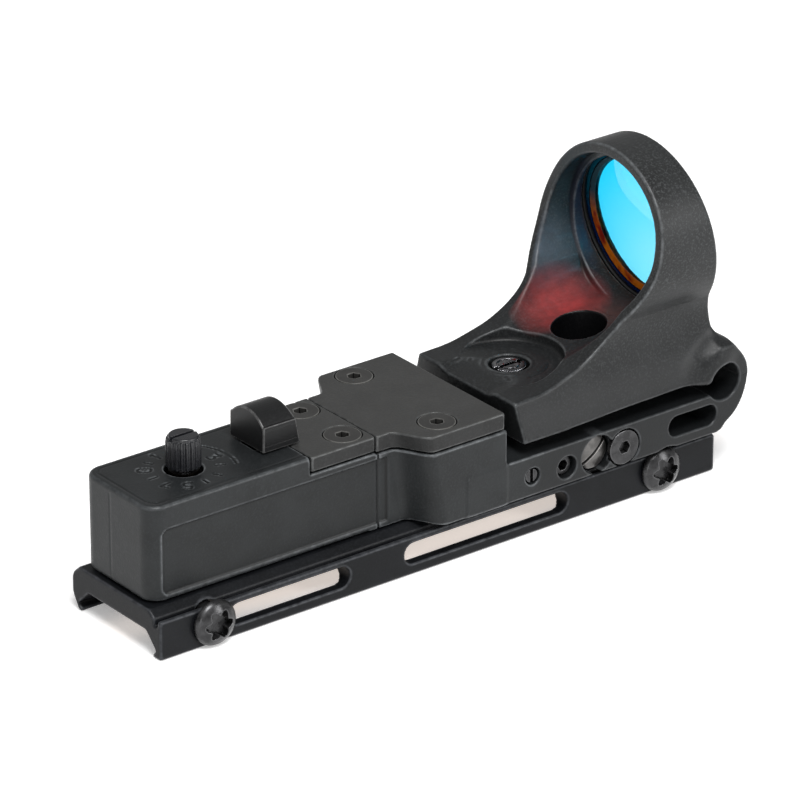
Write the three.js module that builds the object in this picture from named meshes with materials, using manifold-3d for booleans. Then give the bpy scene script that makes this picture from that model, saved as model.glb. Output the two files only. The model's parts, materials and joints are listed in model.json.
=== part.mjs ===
// Open reflex red dot sight on a one-piece dovetail rail base.
// Millimetres. +X forward (towards the lens), +Z up, the side with the adjusting screws faces -Y.
// Shapes are drawn with x = 0 at the rear end of the base and z = 0 under the base's lips.
// Every finished piece is then moved back by half the total length, so the frame's origin
// is the bottom centre of the whole.
import * as THREE from 'three';
import { mergeVertices } from 'three/addons/utils/BufferGeometryUtils.js';
import Module from 'manifold-3d';

const wasm = await Module();
wasm.setup();

// ---------------------------------------------------------------- sizes
const GAP = 0.3;                 // running gap between neighbouring pieces
const BASE_LENGTH = 114.6;
const BASE_TOP = 7.95;           // top plane of the base
const RAIL_SEAT_Z = 4.0;         // plane that rests on the rail's top
const RAIL_WIDTH = 21.2;         // widest across the rail's dovetail
const RAIL_TOP_WIDTH = 15.67;    // flat top of the rail
const RAIL_CENTRE_Y = -0.7;      // the clamp wall is the thicker side
const WALL_Y = -12.95;           // outer face of the clamp wall
const WALL_TOP = 6.8;
const JAW_Y = 11.6;              // outermost point of the rounded far jaw
const WINDOW_Z = 3.85;
const WINDOW_R = 1.9;
const CLAMP_SCREW_X = [10.2, 102.4];
const CLAMP_SCREW_Z = 4.15;
const CLAMP_HEAD_R = 4.15;
const CLAMP_SHANK_R = 2.5;       // M5
const BASE_BOLT_X = [22, 63, 97];

const HOUSING_BOTTOM = BASE_TOP + GAP;
const REAR_X = 0.9;
const BODY_HALF = 9.4;           // narrow rear body, half width
const FLARE_HALF = 15.15;        // wide front body and arm, half width
const TOP_Z = 25;
const CORNER_R = 3;
const SEAM_REAR = 32.4;          // rear edge of the battery cover
const SEAM_MID = 45.6;           // between the battery cover and the front cover
const FRONT_X = 67.65;           // front edge of the front cover
const BATTERY_COVER_Z = 22.0;
const FRONT_COVER_Z = 21.7;
const TOP_CY = 0.4;              // centre line of the pieces on the top
const ARM_TOP = 15.5;
const FLARE_LEAN = 0.18;         // the flare's shoulder leans forward as it goes down

const PIVOT = [114.6, 17.4];     // flexure hole, x and z
const FLEX_HOLE_R = 3.3;
const LOOP_FRONT = 119.85;
const ORIGIN_X = LOOP_FRONT / 2; // middle of the total length
const WEB_SPLIT = 0.15;          // half of the gap between head and housing in the web
const ARM_SLOT = [107.9, 12.0, 3.35, 1.85];  // centre x, z, half straight length, radius

const HEAD_REAR = 71.4;
const HEAD_BOTTOM = 17.85;
const DECK_Z = 24.6;
const RING_Z = 42.5;
const RING_R = 15.9;
const BORE_R = 13.9;
const RING_FRONT_X = 111.7;      // front face of the ring, measured at its centre
const LENS_TILT = THREE.MathUtils.degToRad(8);
const LENS_R = 14.0;
const LIP_R = 13.35;

const ELEV = [80.85, 0.5];       // elevation screw, x and y
const DISH_R = 9.8;
const EMIT_HOLE = [95.2, 0.3, 4.65];
const WIND = [87.4, 11.7];       // windage screw, x and z
const WIND_LOCK = [93.1, 11.4];
const ELEV_LOCK = [80.85, 11.3];
const GUIDE_SET = [73.6, 11.8];
const KNOB = [14.2, 0.0];
const LATCH_X = [26.9, 34.4];
const LATCH_HALF = 4.6;
const CELL_R = 3.95;             // three LR41 cells, 7.9 mm across, 3.6 mm each
const CELL_H = 3.6;
const CELL_XY = [38.0, 0.4];
const CELL_Z = 10.9;

// ---------------------------------------------------------------- helpers
function solid(geometry) {
  const g = geometry.index ? geometry.toNonIndexed() : geometry.clone();
  g.deleteAttribute('normal');
  g.deleteAttribute('uv');
  const m = mergeVertices(g, 1e-4);
  return new wasm.Manifold(new wasm.Mesh({
    numProp: 3,
    vertProperties: new Float32Array(m.attributes.position.array),
    triVerts: new Uint32Array(m.index.array),
  }));
}

const join = (...list) => list.reduce((a, b) => a.add(b));
const cut = (body, ...tools) => tools.reduce((a, b) => a.subtract(b), body);

function box(x0, x1, y0, y1, z0, z1) {
  const g = new THREE.BoxGeometry(x1 - x0, y1 - y0, z1 - z0);
  g.translate((x0 + x1) / 2, (y0 + y1) / 2, (z0 + z1) / 2);
  return solid(g);
}

// Cylinder or cone from point a to point b.
function rod(a, b, r0, r1 = r0, sides = 40) {
  const from = new THREE.Vector3(...a);
  const to = new THREE.Vector3(...b);
  const dir = to.clone().sub(from);
  const g = new THREE.CylinderGeometry(r1, r0, dir.length(), sides);
  g.applyQuaternion(new THREE.Quaternion().setFromUnitVectors(
    new THREE.Vector3(0, 1, 0), dir.clone().normalize()));
  const mid = from.add(to).multiplyScalar(0.5);
  g.translate(mid.x, mid.y, mid.z);
  return solid(g);
}

function extrude(shape, depth, bevel = 0, curveSegments = 10) {
  return new THREE.ExtrudeGeometry(shape, {
    depth: depth - 2 * bevel,
    bevelEnabled: bevel > 0,
    bevelSize: bevel,
    bevelThickness: bevel,
    bevelOffset: -bevel,
    bevelSegments: 2,
    curveSegments,
  }).translate(0, 0, bevel);
}

// Outline in x, z pushed along y from y0 to y1.
function alongY(shape, y0, y1, bevel = 0, seg = 10) {
  return solid(extrude(shape, y1 - y0, bevel, seg).rotateX(Math.PI / 2).translate(0, y1, 0));
}

// Outline in y, z pushed along x from x0 to x1.
function alongX(shape, x0, x1, bevel = 0, seg = 10) {
  const turn = new THREE.Matrix4().makeBasis(
    new THREE.Vector3(0, 1, 0), new THREE.Vector3(0, 0, 1), new THREE.Vector3(1, 0, 0));
  return solid(extrude(shape, x1 - x0, bevel, seg).applyMatrix4(turn).translate(x0, 0, 0));
}

// Outline in x, y pushed along z from z0 to z1.
function alongZ(shape, z0, z1, bevel = 0, seg = 10) {
  return solid(extrude(shape, z1 - z0, bevel, seg).translate(0, 0, z0));
}

function roundRect(x0, x1, y0, y1, r) {
  const s = new THREE.Shape();
  s.moveTo(x0 + r, y0);
  s.lineTo(x1 - r, y0);
  s.absarc(x1 - r, y0 + r, r, -Math.PI / 2, 0);
  s.lineTo(x1, y1 - r);
  s.absarc(x1 - r, y1 - r, r, 0, Math.PI / 2);
  s.lineTo(x0 + r, y1);
  s.absarc(x0 + r, y1 - r, r, Math.PI / 2, Math.PI);
  s.lineTo(x0, y0 + r);
  s.absarc(x0 + r, y0 + r, r, Math.PI, 1.5 * Math.PI);
  return s;
}

function slotShape(cx, cz, half, r) {
  const s = new THREE.Shape();
  s.absarc(cx + half, cz, r, -Math.PI / 2, Math.PI / 2);
  s.absarc(cx - half, cz, r, Math.PI / 2, 1.5 * Math.PI);
  return s;
}

// Six-lobed driver recess.
function lobedShape(outer, inner) {
  const s = new THREE.Shape();
  const steps = 36;
  for (let i = 0; i < steps; i += 1) {
    const a = (i / steps) * Math.PI * 2;
    const r = (outer + inner) / 2 + ((outer - inner) / 2) * Math.cos(6 * a);
    if (i === 0) s.moveTo(r * Math.cos(a), r * Math.sin(a));
    else s.lineTo(r * Math.cos(a), r * Math.sin(a));
  }
  return s;
}

// Turned piece: profile of [radius, height] pairs, closed on the axis.
function turned(profile, sides = 40) {
  const pts = profile.map((p) => new THREE.Vector2(p[0], p[1]));
  return solid(new THREE.LatheGeometry(pts, sides));   // axis along +Y
}

// Turned pieces stand along +Y; point them along another axis and place them.
function place(body, axis, at) {
  const q = new THREE.Quaternion().setFromUnitVectors(
    new THREE.Vector3(0, 1, 0), new THREE.Vector3(...axis).normalize());
  const m = new THREE.Matrix4().compose(
    new THREE.Vector3(...at), q, new THREE.Vector3(1, 1, 1));
  return body.transform(m.toArray());
}

// Wire or spring of round section swept along a curve.
function tube(curve, r, steps, sides = 6) {
  const s = new THREE.Shape();
  s.absarc(0, 0, r, 0, Math.PI * 2);
  return solid(new THREE.ExtrudeGeometry(s, {
    steps, bevelEnabled: false, extrudePath: curve, curveSegments: sides / 2,
  }));
}

class Helix extends THREE.Curve {
  constructor(at, r, height, turns) {
    super();
    Object.assign(this, { at, r, height, turns });
  }

  getPoint(t) {
    const a = t * this.turns * Math.PI * 2;
    return new THREE.Vector3(
      this.at[0] + this.r * Math.cos(a), this.at[1] + this.r * Math.sin(a),
      this.at[2] + this.height * t);
  }
}

const group = new THREE.Group();
group.name = 'red_dot_finder';

const finish = {
  housing: { color: 0x3f4143, roughness: 0.62, metalness: 0.35 },
  base: { color: 0x26282a, roughness: 0.45, metalness: 0.5 },
  cover: { color: 0x444341, roughness: 0.62, metalness: 0.35 },
  screw: { color: 0x4a4c4f, roughness: 0.35, metalness: 0.9 },
  black: { color: 0x1c1d1e, roughness: 0.6, metalness: 0.1 },
  steel: { color: 0xa8aaac, roughness: 0.3, metalness: 1.0 },
  brass: { color: 0xb08d4a, roughness: 0.35, metalness: 1.0 },
  rubber: { color: 0x141414, roughness: 0.9, metalness: 0.0 },
  board: { color: 0x1d4a2c, roughness: 0.5, metalness: 0.0 },
  glass: { color: 0x4fdcff, roughness: 0.05, metalness: 0.1 },
  wireRed: { color: 0x9a1c1c, roughness: 0.5, metalness: 0.0 },
  wireBlack: { color: 0x181818, roughness: 0.5, metalness: 0.0 },
  led: { color: 0xd83030, roughness: 0.2, metalness: 0.0 },
};

function add(name, body, look) {
  const m = body.translate([-ORIGIN_X, 0, 0]).getMesh();
  const g = new THREE.BufferGeometry();
  const pos = new Float32Array(m.numVert * 3);
  for (let i = 0; i < m.numVert; i += 1) {
    for (let k = 0; k < 3; k += 1) pos[i * 3 + k] = m.vertProperties[i * m.numProp + k];
  }
  g.setAttribute('position', new THREE.BufferAttribute(pos, 3));
  g.setIndex(new THREE.BufferAttribute(new Uint32Array(m.triVerts), 1));
  const flat = g.toNonIndexed();
  flat.computeVertexNormals();
  const mesh = new THREE.Mesh(flat, new THREE.MeshStandardMaterial(look));
  mesh.name = name;
  group.add(mesh);
}

// ---------------------------------------------------------------- rail base
const APEX = RAIL_WIDTH / 2;
const apexZ = RAIL_SEAT_Z - (RAIL_WIDTH - RAIL_TOP_WIDTH) / 2;
const seatHalf = RAIL_TOP_WIDTH / 2;
const nearApex = RAIL_CENTRE_Y - APEX - 0.15;
const farApex = RAIL_CENTRE_Y + APEX + 0.15;

const baseSection = new THREE.Shape();
baseSection.moveTo(-9.7, BASE_TOP);
baseSection.lineTo(-11.1, 6.9);
baseSection.lineTo(-11.25, 5.6);
baseSection.lineTo(-12.0, 5.6);
baseSection.lineTo(-12.1, WALL_TOP);
baseSection.lineTo(WALL_Y + 0.25, WALL_TOP);
baseSection.lineTo(WALL_Y, WALL_TOP - 0.25);
baseSection.lineTo(WALL_Y, 0.5);
baseSection.lineTo(WALL_Y + 0.5, 0);
baseSection.lineTo(nearApex + 1.0, 0);
baseSection.lineTo(nearApex + 1.0, 0.25);
baseSection.lineTo(nearApex, apexZ);
baseSection.lineTo(RAIL_CENTRE_Y - seatHalf - 0.15, RAIL_SEAT_Z);
baseSection.lineTo(RAIL_CENTRE_Y + seatHalf + 0.15, RAIL_SEAT_Z);
baseSection.lineTo(farApex, apexZ);
baseSection.lineTo(farApex - 1.0, 0.25);
baseSection.lineTo(farApex - 1.0, 0);
baseSection.lineTo(JAW_Y - 1.9, 0);
baseSection.bezierCurveTo(JAW_Y - 0.5, 0.6, JAW_Y, 2.4, JAW_Y, 4.4);
baseSection.bezierCurveTo(JAW_Y, 6.4, JAW_Y - 0.8, 7.6, JAW_Y - 1.9, BASE_TOP);

let base = alongX(baseSection, 0, BASE_LENGTH, 0, 8);
const windows = [[13.6, 37.7], [48.8, 82.9]];
for (const [x0, x1] of windows) {
  const half = (x1 - x0) / 2 - WINDOW_R;
  const opening = slotShape((x0 + x1) / 2, WINDOW_Z, half, WINDOW_R);
  base = cut(base, alongY(opening, -14, -8.5));
}
for (const x of CLAMP_SCREW_X) {
  base = cut(base, rod([x, -14, CLAMP_SCREW_Z], [x, 9.9, CLAMP_SCREW_Z], CLAMP_SHANK_R + GAP));
}
const BOLT_HEAD_R = 2.75;
for (const x of BASE_BOLT_X) {
  base = cut(base,
    rod([x, 0, 3], [x, 0, 9], 1.5 + GAP),
    rod([x, 0, 3], [x, 0, RAIL_SEAT_Z + 2.5], BOLT_HEAD_R + GAP));
}
add('base_rail_clamp', base, finish.base);

// Cross screws that draw the clamp wall towards the fixed jaw.
function clampScrew() {
  const seat = 0;                       // underside of the head
  const profile = [[0, -21.6], [2.0, -21.6], [CLAMP_SHANK_R, -21.0],
    [CLAMP_SHANK_R, seat], [CLAMP_HEAD_R, seat], [CLAMP_HEAD_R, 0.9],
    [3.95, 1.35], [3.45, 1.8], [2.7, 2.2], [2.3, 2.35], [0, 2.35]];
  const body = turned(profile, 32);
  const recess = alongZ(lobedShape(2.45, 1.75), 0, 2.2)
    .rotate([-90, 0, 0]).translate([0, 0.6, 0]);
  return cut(body, recess);
}
CLAMP_SCREW_X.forEach((x, i) => {
  const name = i === 0 ? 'clamp_screw_rear' : 'clamp_screw_front';
  add(name, place(clampScrew(), [0, -1, 0], [x, WALL_Y - 0.25, CLAMP_SCREW_Z]), finish.screw);
});

// Bolts from under the base into the housing.
BASE_BOLT_X.forEach((x, i) => {
  const body = turned([[0, 2.2], [BOLT_HEAD_R, 2.2], [BOLT_HEAD_R, 0.3], [BOLT_HEAD_R - 0.3, 0],
    [0, 0]].reverse(), 24);
  const shank = turned([[0, 2.0], [1.5, 2.0], [1.5, 6.0], [1.2, 6.4], [0, 6.4]], 20);
  const socket = rod([0, -1, 0], [0, 1.2, 0], 1.45, 1.45, 6);
  const bolt = place(cut(join(body, shank), socket), [0, 0, 1], [x, 0, RAIL_SEAT_Z + 0.15]);
  add(['base_bolt_rear', 'base_bolt_middle', 'base_bolt_front'][i], bolt, finish.steel);
});

// ---------------------------------------------------------------- housing
// Plan outline of the flared part, from the narrow body to the full width.
function flareOutline(x0, x1, grow = 0) {
  const n = BODY_HALF + grow;
  const w = FLARE_HALF + grow;
  const s = new THREE.Shape();
  s.moveTo(x0, -n);
  s.lineTo(47.6, -n);
  s.bezierCurveTo(49.8, -n, 50.6, -n - 1.0, 51.0, -n - 2.4);
  s.bezierCurveTo(51.5, -w + 1.6, 52.0, -w, 53.9, -w);
  s.lineTo(x1, -w);
  s.lineTo(x1, w);
  s.lineTo(53.9, w);
  s.bezierCurveTo(52.0, w, 51.5, w - 1.6, 51.0, n + 2.4);
  s.bezierCurveTo(50.6, n + 1.0, 49.8, n, 47.6, n);
  s.lineTo(x0, n);
  return s;
}

// Lean the shoulder forward below the top.
function lean(geometry) {
  const p = geometry.attributes.position;
  for (let i = 0; i < p.count; i += 1) {
    const x = p.getX(i);
    const rise = THREE.MathUtils.smoothstep(x, 45.7, 49.5);
    const fall = 1 - THREE.MathUtils.smoothstep(x, 54, 60);
    p.setX(i, x + FLARE_LEAN * (TOP_Z - p.getZ(i)) * rise * fall);
  }
  return geometry;
}

function flareBlock(x0, x1, z0, z1) {
  return solid(lean(extrude(flareOutline(x0, x1), z1 - z0, 0, 6).translate(0, 0, z0)));
}

const rearBlock = alongZ(
  roundRect(REAR_X, SEAM_MID + 6, -BODY_HALF, BODY_HALF, CORNER_R), HOUSING_BOTTOM, TOP_Z, 0.4, 8);
const rearKeep = box(0, SEAM_MID + 0.5, -12, 12, 0, 30);

// Lower half of the flexure loop in x, z.
const armSide = new THREE.Shape();
armSide.moveTo(50, HOUSING_BOTTOM);
armSide.lineTo(113.4, HOUSING_BOTTOM);
armSide.quadraticCurveTo(114.3, 8.5, 114.9, 9.5);
armSide.quadraticCurveTo(117.9, 11.0, 119.1, 14.1);
armSide.quadraticCurveTo(119.8, 15.9, LOOP_FRONT, PIVOT[1] - WEB_SPLIT);
armSide.lineTo(PIVOT[0], PIVOT[1] - WEB_SPLIT);
armSide.lineTo(111.9, ARM_TOP);
armSide.lineTo(50, ARM_TOP);

let housing = join(
  rearBlock.intersect(rearKeep),
  flareBlock(SEAM_MID - 0.5, FRONT_X + 0.3, HOUSING_BOTTOM, FRONT_COVER_Z),
  alongY(armSide, -FLARE_HALF, FLARE_HALF).intersect(box(60, 130, -20, 20, 0, 40)));

// Room for the two covers.
housing = cut(housing,
  box(SEAM_REAR, SEAM_MID + 8, -20, 20, BATTERY_COVER_Z, 40),
  box(SEAM_MID - 0.0, FRONT_X + 5, -20, 20, FRONT_COVER_Z, 40));
// Flexure hole, oblong slot, relief round the front clamp screw's head.
housing = cut(housing,
  rod([PIVOT[0], -20, PIVOT[1]], [PIVOT[0], 20, PIVOT[1]], FLEX_HOLE_R),
  alongY(slotShape(...ARM_SLOT), -20, 20),
  rod([CLAMP_SCREW_X[1], -20, CLAMP_SCREW_Z], [CLAMP_SCREW_X[1], -12.3, CLAMP_SCREW_Z],
    CLAMP_HEAD_R + 0.4));
// Shallow panels in both sides of the rear body.
for (const side of [-1, 1]) {
  const panel = roundRect(3.4, 46.2, 9.4, 20.6, 1.2);
  housing = cut(housing, alongY(panel, side * BODY_HALF - 0.35, side * BODY_HALF + 0.35));
}
// Rheostat bay, open underneath.
housing = cut(housing, alongZ(roundRect(4.2, 24.6, -6.6, 6.6, 1.5), HOUSING_BOTTOM - 1, 22.8));
// Latch slot through the roof, with room underneath for the clip that holds the latch down.
const LATCH_TRAVEL = 2.5;
const STEM_X = [30.0, 32.1];
housing = cut(housing,
  box(STEM_X[0] - LATCH_TRAVEL - GAP, SEAM_REAR + 1, TOP_CY - 2.1, TOP_CY + 2.1, 21, 30),
  box(STEM_X[0] - LATCH_TRAVEL - 0.6, SEAM_REAR + 0.1, TOP_CY - 3.9, TOP_CY + 3.9, 19.8, 22.0));
// Knob bushing hole.
housing = cut(housing, rod([...KNOB, 20], [...KNOB, 30], 2.5 + GAP));
// Cell well with its spring pocket, electronics bay.
housing = cut(housing,
  rod([...CELL_XY, 9.75], [...CELL_XY, 30], CELL_R + GAP),
  alongZ(roundRect(51.2, 65.4, -8.6, 8.6, 1.2), 11.2, 30));
// Wire ways along the body: rheostat bay to electronics, cell well to electronics.
const WIRE_Z = 12.4;
housing = cut(housing,
  rod([22, 6.0, WIRE_Z], [53, 6.0, WIRE_Z], 0.95, 0.95, 20),
  rod([40, -1.2, 10.9], [44, -1.2, WIRE_Z], 0.95, 0.95, 20),
  rod([43.6, -1.2, WIRE_Z], [53, -1.2, WIRE_Z], 0.95, 0.95, 20),
  rod([64, 3.0, WIRE_Z], [84, 3.0, WIRE_Z], 0.95, 0.95, 20));
// Carriage pocket in the arm and the elevation screw's well.
housing = cut(housing,
  box(83.6, 91.4, -8.5, 8.5, 9.6, 30),
  rod([...ELEV, 9.3], [...ELEV, 30], 2.6));
// Side screws: bores and recesses from the near side.
const NEAR = -FLARE_HALF;
const WIND_SEAT = 2.9;           // the windage screw sits under the rim of its lock screw
housing = cut(housing,
  rod([WIND[0], NEAR - 1, WIND[1]], [WIND[0], -8, WIND[1]], 1.75 + GAP),
  rod([WIND[0], NEAR - 1, WIND[1]], [WIND[0], NEAR + WIND_SEAT + 0.1, WIND[1]], 3.1 + GAP),
  rod([WIND_LOCK[0], NEAR - 1, WIND_LOCK[1]], [WIND_LOCK[0], NEAR + 6.2, WIND_LOCK[1]], 1.5 + GAP),
  rod([WIND_LOCK[0], NEAR - 1, WIND_LOCK[1]], [WIND_LOCK[0], NEAR + 1.15, WIND_LOCK[1]],
    3.05 + GAP),
  rod([ELEV_LOCK[0], NEAR - 1, ELEV_LOCK[1]], [ELEV_LOCK[0], 0, ELEV_LOCK[1]], 1.7 + GAP),
  rod([GUIDE_SET[0], NEAR - 1, GUIDE_SET[1]], [GUIDE_SET[0], NEAR + 5, GUIDE_SET[1]], 1.25 + GAP));
// Threaded holes for the cover screws and base bolts.
const BATTERY_SCREWS = [[41.9, TOP_CY - 5.7], [41.9, TOP_CY + 5.7]];
const FRONT_SCREWS = [[57.0, TOP_CY - 11.1], [57.0, TOP_CY + 11.1]];
for (const [x, y] of [...BATTERY_SCREWS, ...FRONT_SCREWS]) {
  housing = cut(housing, rod([x, y, TOP_Z - 7.4], [x, y, 30], 1.5 + GAP, 1.5 + GAP, 24));
}
for (const x of BASE_BOLT_X) {
  housing = cut(housing, rod([x, 0, 8], [x, 0, RAIL_SEAT_Z + 7.1], 1.5 + GAP, 1.5 + GAP, 24));
}
add('housing', housing, finish.housing);

// ---------------------------------------------------------------- covers
let batteryCover = box(SEAM_REAR + GAP, SEAM_MID - GAP / 2, -BODY_HALF, BODY_HALF,
  BATTERY_COVER_Z + GAP, TOP_Z);
let frontCover = flareBlock(SEAM_MID + GAP / 2, FRONT_X, FRONT_COVER_Z + GAP, TOP_Z);
for (const [x, y] of BATTERY_SCREWS) {
  batteryCover = cut(batteryCover,
    rod([x, y, 15], [x, y, 30], 1.5 + GAP, 1.5 + GAP, 24),
    rod([x, y, TOP_Z - 1.9], [x, y, TOP_Z + 0.2], 1.5 + GAP, 3.2 + GAP, 32));
}
for (const [x, y] of FRONT_SCREWS) {
  frontCover = cut(frontCover,
    rod([x, y, 15], [x, y, 30], 1.5 + GAP, 1.5 + GAP, 24),
    rod([x, y, TOP_Z - 1.9], [x, y, TOP_Z + 0.2], 1.5 + GAP, 3.2 + GAP, 32));
}
batteryCover = cut(batteryCover, rod([...CELL_XY, 21], [...CELL_XY, 22.95], CELL_R + GAP));
frontCover = cut(frontCover, box(52.5, 64.5, -7.6, 7.6, 20, 23.4));
add('battery_cover', batteryCover, finish.cover);
add('front_cover', frontCover, finish.cover);

// M3 countersunk screws with a 2 mm hexagon socket.
function coverScrew(length) {
  const profile = [[0, -length], [1.2, -length], [1.5, 0.4 - length], [1.5, -1.7],
    [3.0, -0.2], [3.0, 0], [0, 0]];
  return cut(turned(profile, 26), rod([0, -1.2, 0], [0, 1, 0], 1.155, 1.155, 6));
}
function coverPair(prefix, spots) {
  spots.forEach(([x, y], i) => {
    add(`${prefix}_${i === 0 ? 'near' : 'far'}`,
      place(coverScrew(7), [0, 0, 1], [x, y, TOP_Z - 0.1]), finish.screw);
  });
}
coverPair('battery_cover_screw', BATTERY_SCREWS);
coverPair('front_cover_screw', FRONT_SCREWS);

// ---------------------------------------------------------------- latch
const archShape = new THREE.Shape();
archShape.moveTo(TOP_CY - LATCH_HALF, TOP_Z + GAP);
archShape.lineTo(TOP_CY + LATCH_HALF, TOP_Z + GAP);
archShape.lineTo(TOP_CY + LATCH_HALF, 29.9);
archShape.quadraticCurveTo(TOP_CY, 33.7, TOP_CY - LATCH_HALF, 29.9);
const latchTall = new THREE.Shape();
latchTall.moveTo(LATCH_X[0], TOP_Z);
latchTall.lineTo(LATCH_X[0] + 0.15, 34);
latchTall.lineTo(LATCH_X[0] + 5.6, 34);
latchTall.lineTo(LATCH_X[1], TOP_Z);
let latch = alongX(archShape, LATCH_X[0] - 1, LATCH_X[1] + 1, 0, 10)
  .intersect(alongY(latchTall, -10, 10));
// Its stem goes down through the roof slot; its nose lies over the battery cover's edge.
latch = join(latch, box(...STEM_X, TOP_CY - 1.8, TOP_CY + 1.8, 21.6, 25.6));
add('battery_latch', latch, finish.housing);
add('latch_clip', box(STEM_X[0] - 0.2, STEM_X[1], TOP_CY - 3.5, TOP_CY + 3.5, 20.3, 21.4),
  finish.steel);

// ---------------------------------------------------------------- rheostat
const knobSides = 20;
const fluted = new THREE.Shape();
for (let i = 0; i < knobSides * 4; i += 1) {
  const a = (i / (knobSides * 4)) * Math.PI * 2;
  const r = 2.9 - (i % 4 >= 2 ? 0.28 : 0);
  if (i === 0) fluted.moveTo(r * Math.cos(a), r * Math.sin(a));
  else fluted.lineTo(r * Math.cos(a), r * Math.sin(a));
}
let knob = join(
  alongZ(fluted, 25.5, 30.8).translate([...KNOB, 0]),
  rod([...KNOB, 25.5], [...KNOB, 31.1], 2.5, 2.4, 32));
knob = cut(knob, box(KNOB[0] - 4, KNOB[0] + 4, -0.35, 0.35, 30.2, 32),
  rod([...KNOB, 25], [...KNOB, 28.6], 1.5 + GAP, 1.5 + GAP, 24));
add('brightness_knob', knob, finish.black);
add('rheostat_shaft', place(turned([[0, 16.4], [1.0, 16.4], [1.5, 16.9], [1.5, 28.3], [0, 28.3]], 24),
  [0, 0, 1], [...KNOB, 0]), finish.steel);
const bushing = turned([[1.8, 20.0], [4.6, 20.0], [4.6, 22.4], [2.5, 22.4], [2.5, 25.0],
  [1.8, 25.0], [1.8, 20.0]], 32);
add('rheostat_bushing', place(bushing, [0, 0, 1], [...KNOB, 0]), finish.brass);
let rheostat = alongZ(roundRect(KNOB[0] - 5.6, KNOB[0] + 5.6, -5.6, 5.6, 1.0), 14.0, 19.7);
rheostat = cut(rheostat,
  rod([...KNOB, 15.4], [...KNOB, 30], 1.5 + GAP, 1.5 + GAP, 24),
  rod([...KNOB, 17.2], [...KNOB, 18.9], 4.4, 4.4, 32),
  rod([...KNOB, 18.8], [...KNOB, 30], 4.4, 4.4, 32));
add('rheostat_body', rheostat, finish.black);
const wiper = cut(join(
  rod([...KNOB, 17.6], [...KNOB, 18.3], 2.7, 2.7, 24),
  box(KNOB[0], KNOB[0] + 4.0, -0.6, 0.6, 17.6, 18.3)),
rod([...KNOB, 17], [...KNOB, 19], 1.5 + GAP, 1.5 + GAP, 24));
add('rheostat_wiper', wiper, finish.brass);
const cover = cut(rod([...KNOB, 19.0], [...KNOB, 19.65], 4.1, 4.1, 32),
  rod([...KNOB, 18], [...KNOB, 21], 1.5 + GAP, 1.5 + GAP, 24));
add('rheostat_washer', cover, finish.steel);

// ---------------------------------------------------------------- cells
for (let i = 0; i < 3; i += 1) {
  const z = CELL_Z + i * (CELL_H + 0.02);
  const cell = turned([[0, z + 0.02], [2.9, z + 0.02], [2.9, z + 0.3], [CELL_R - 0.2, z + 0.3],
    [CELL_R, z + 0.5], [CELL_R, z + CELL_H - 0.2], [CELL_R - 0.2, z + CELL_H], [0, z + CELL_H]], 26);
  add(`button_cell_${i + 1}`, place(cell, [0, 0, 1], [...CELL_XY, 0]), finish.steel);
}
add('cell_contact_spring', tube(new Helix([...CELL_XY, 10.1], 2.0, 0.5, 1.6), 0.18, 28),
  finish.brass);
add('cell_contact_plate', place(turned([[0, 21.95], [3.4, 21.95], [3.4, 22.25], [0, 22.25]], 32),
  [0, 0, 1], [...CELL_XY, 0.4]), finish.brass);

// ---------------------------------------------------------------- electronics
let board = box(52.2, 64.2, -7.6, 7.6, 14.2, 15.2);
board = cut(board, rod([58, 0, 13], [58, 0, 17], 1.2, 1.2, 20));
add('circuit_board', board, finish.board);
add('driver_chip', box(53.6, 57.0, -5.6, -2.2, 15.25, 16.5), finish.black);
add('filter_capacitor', place(turned([[0, 0], [1.7, 0], [1.7, 3.9], [1.4, 4.2], [0, 4.2]], 24),
  [0, 0, 1], [61.4, 4.4, 15.25]), finish.black);
add('board_standoff', cut(rod([58, 0, 11.5], [58, 0, 13.9], 2.0, 2.0, 24),
  rod([58, 0, 10], [58, 0, 16], 0.9, 0.9, 20)), finish.brass);
add('board_screw', place(turned([[0, -3.2], [0.6, -3.2], [0.6, 0], [1.9, 0], [1.9, 0.7],
  [1.5, 1.1], [0, 1.1]], 24), [0, 0, 1], [58, 0, 15.25]), finish.steel);

// ---------------------------------------------------------------- wires
function wire(name, points, look) {
  const curve = new THREE.CatmullRomCurve3(points.map((p) => new THREE.Vector3(...p)),
    false, 'centripetal');
  add(name, tube(curve, 0.42, points.length * 4), look);
}
wire('wire_rheostat', [[20.6, 4.0, 13.4], [21.2, 5.2, 12.8], [23.0, 6.0, WIRE_Z],
  [30, 6.0, WIRE_Z], [40, 6.0, WIRE_Z], [52.0, 6.0, WIRE_Z], [54.4, 5.6, 13.0]], finish.wireBlack);
wire('wire_battery', [[42.4, -1.2, 11.9], [44.4, -1.2, WIRE_Z], [48, -1.2, WIRE_Z],
  [52.2, -1.2, WIRE_Z], [54.0, -1.4, 13.2]], finish.wireRed);
wire('wire_led', [[62.6, 3.0, 13.2], [64.6, 3.0, WIRE_Z], [70, 3.0, WIRE_Z],
  [78, 3.0, WIRE_Z], [83.8, 3.0, WIRE_Z]], finish.wireRed);

// ---------------------------------------------------------------- head
function outlineHalf() {
  // Right half of the head seen from behind: [y, z] from the bottom up to the ring.
  return [[FLARE_HALF, HEAD_BOTTOM - 1], [FLARE_HALF, 18.4], [14.6, 19.6], [13.9, 21.4],
    [13.3, 23.2], [12.75, 25.0], [12.35, 27.0], [12.15, 29.0], [12.25, 30.8], [12.7, 32.6]];
}
const headFront = new THREE.Shape();
const half = outlineHalf();
headFront.moveTo(half[0][0], half[0][1]);
for (const [y, z] of half.slice(1)) headFront.lineTo(y, z);
headFront.absarc(0, RING_Z, RING_R, -0.6, Math.PI + 0.6, false);
for (const [y, z] of half.slice().reverse()) headFront.lineTo(-y, z);

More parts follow.
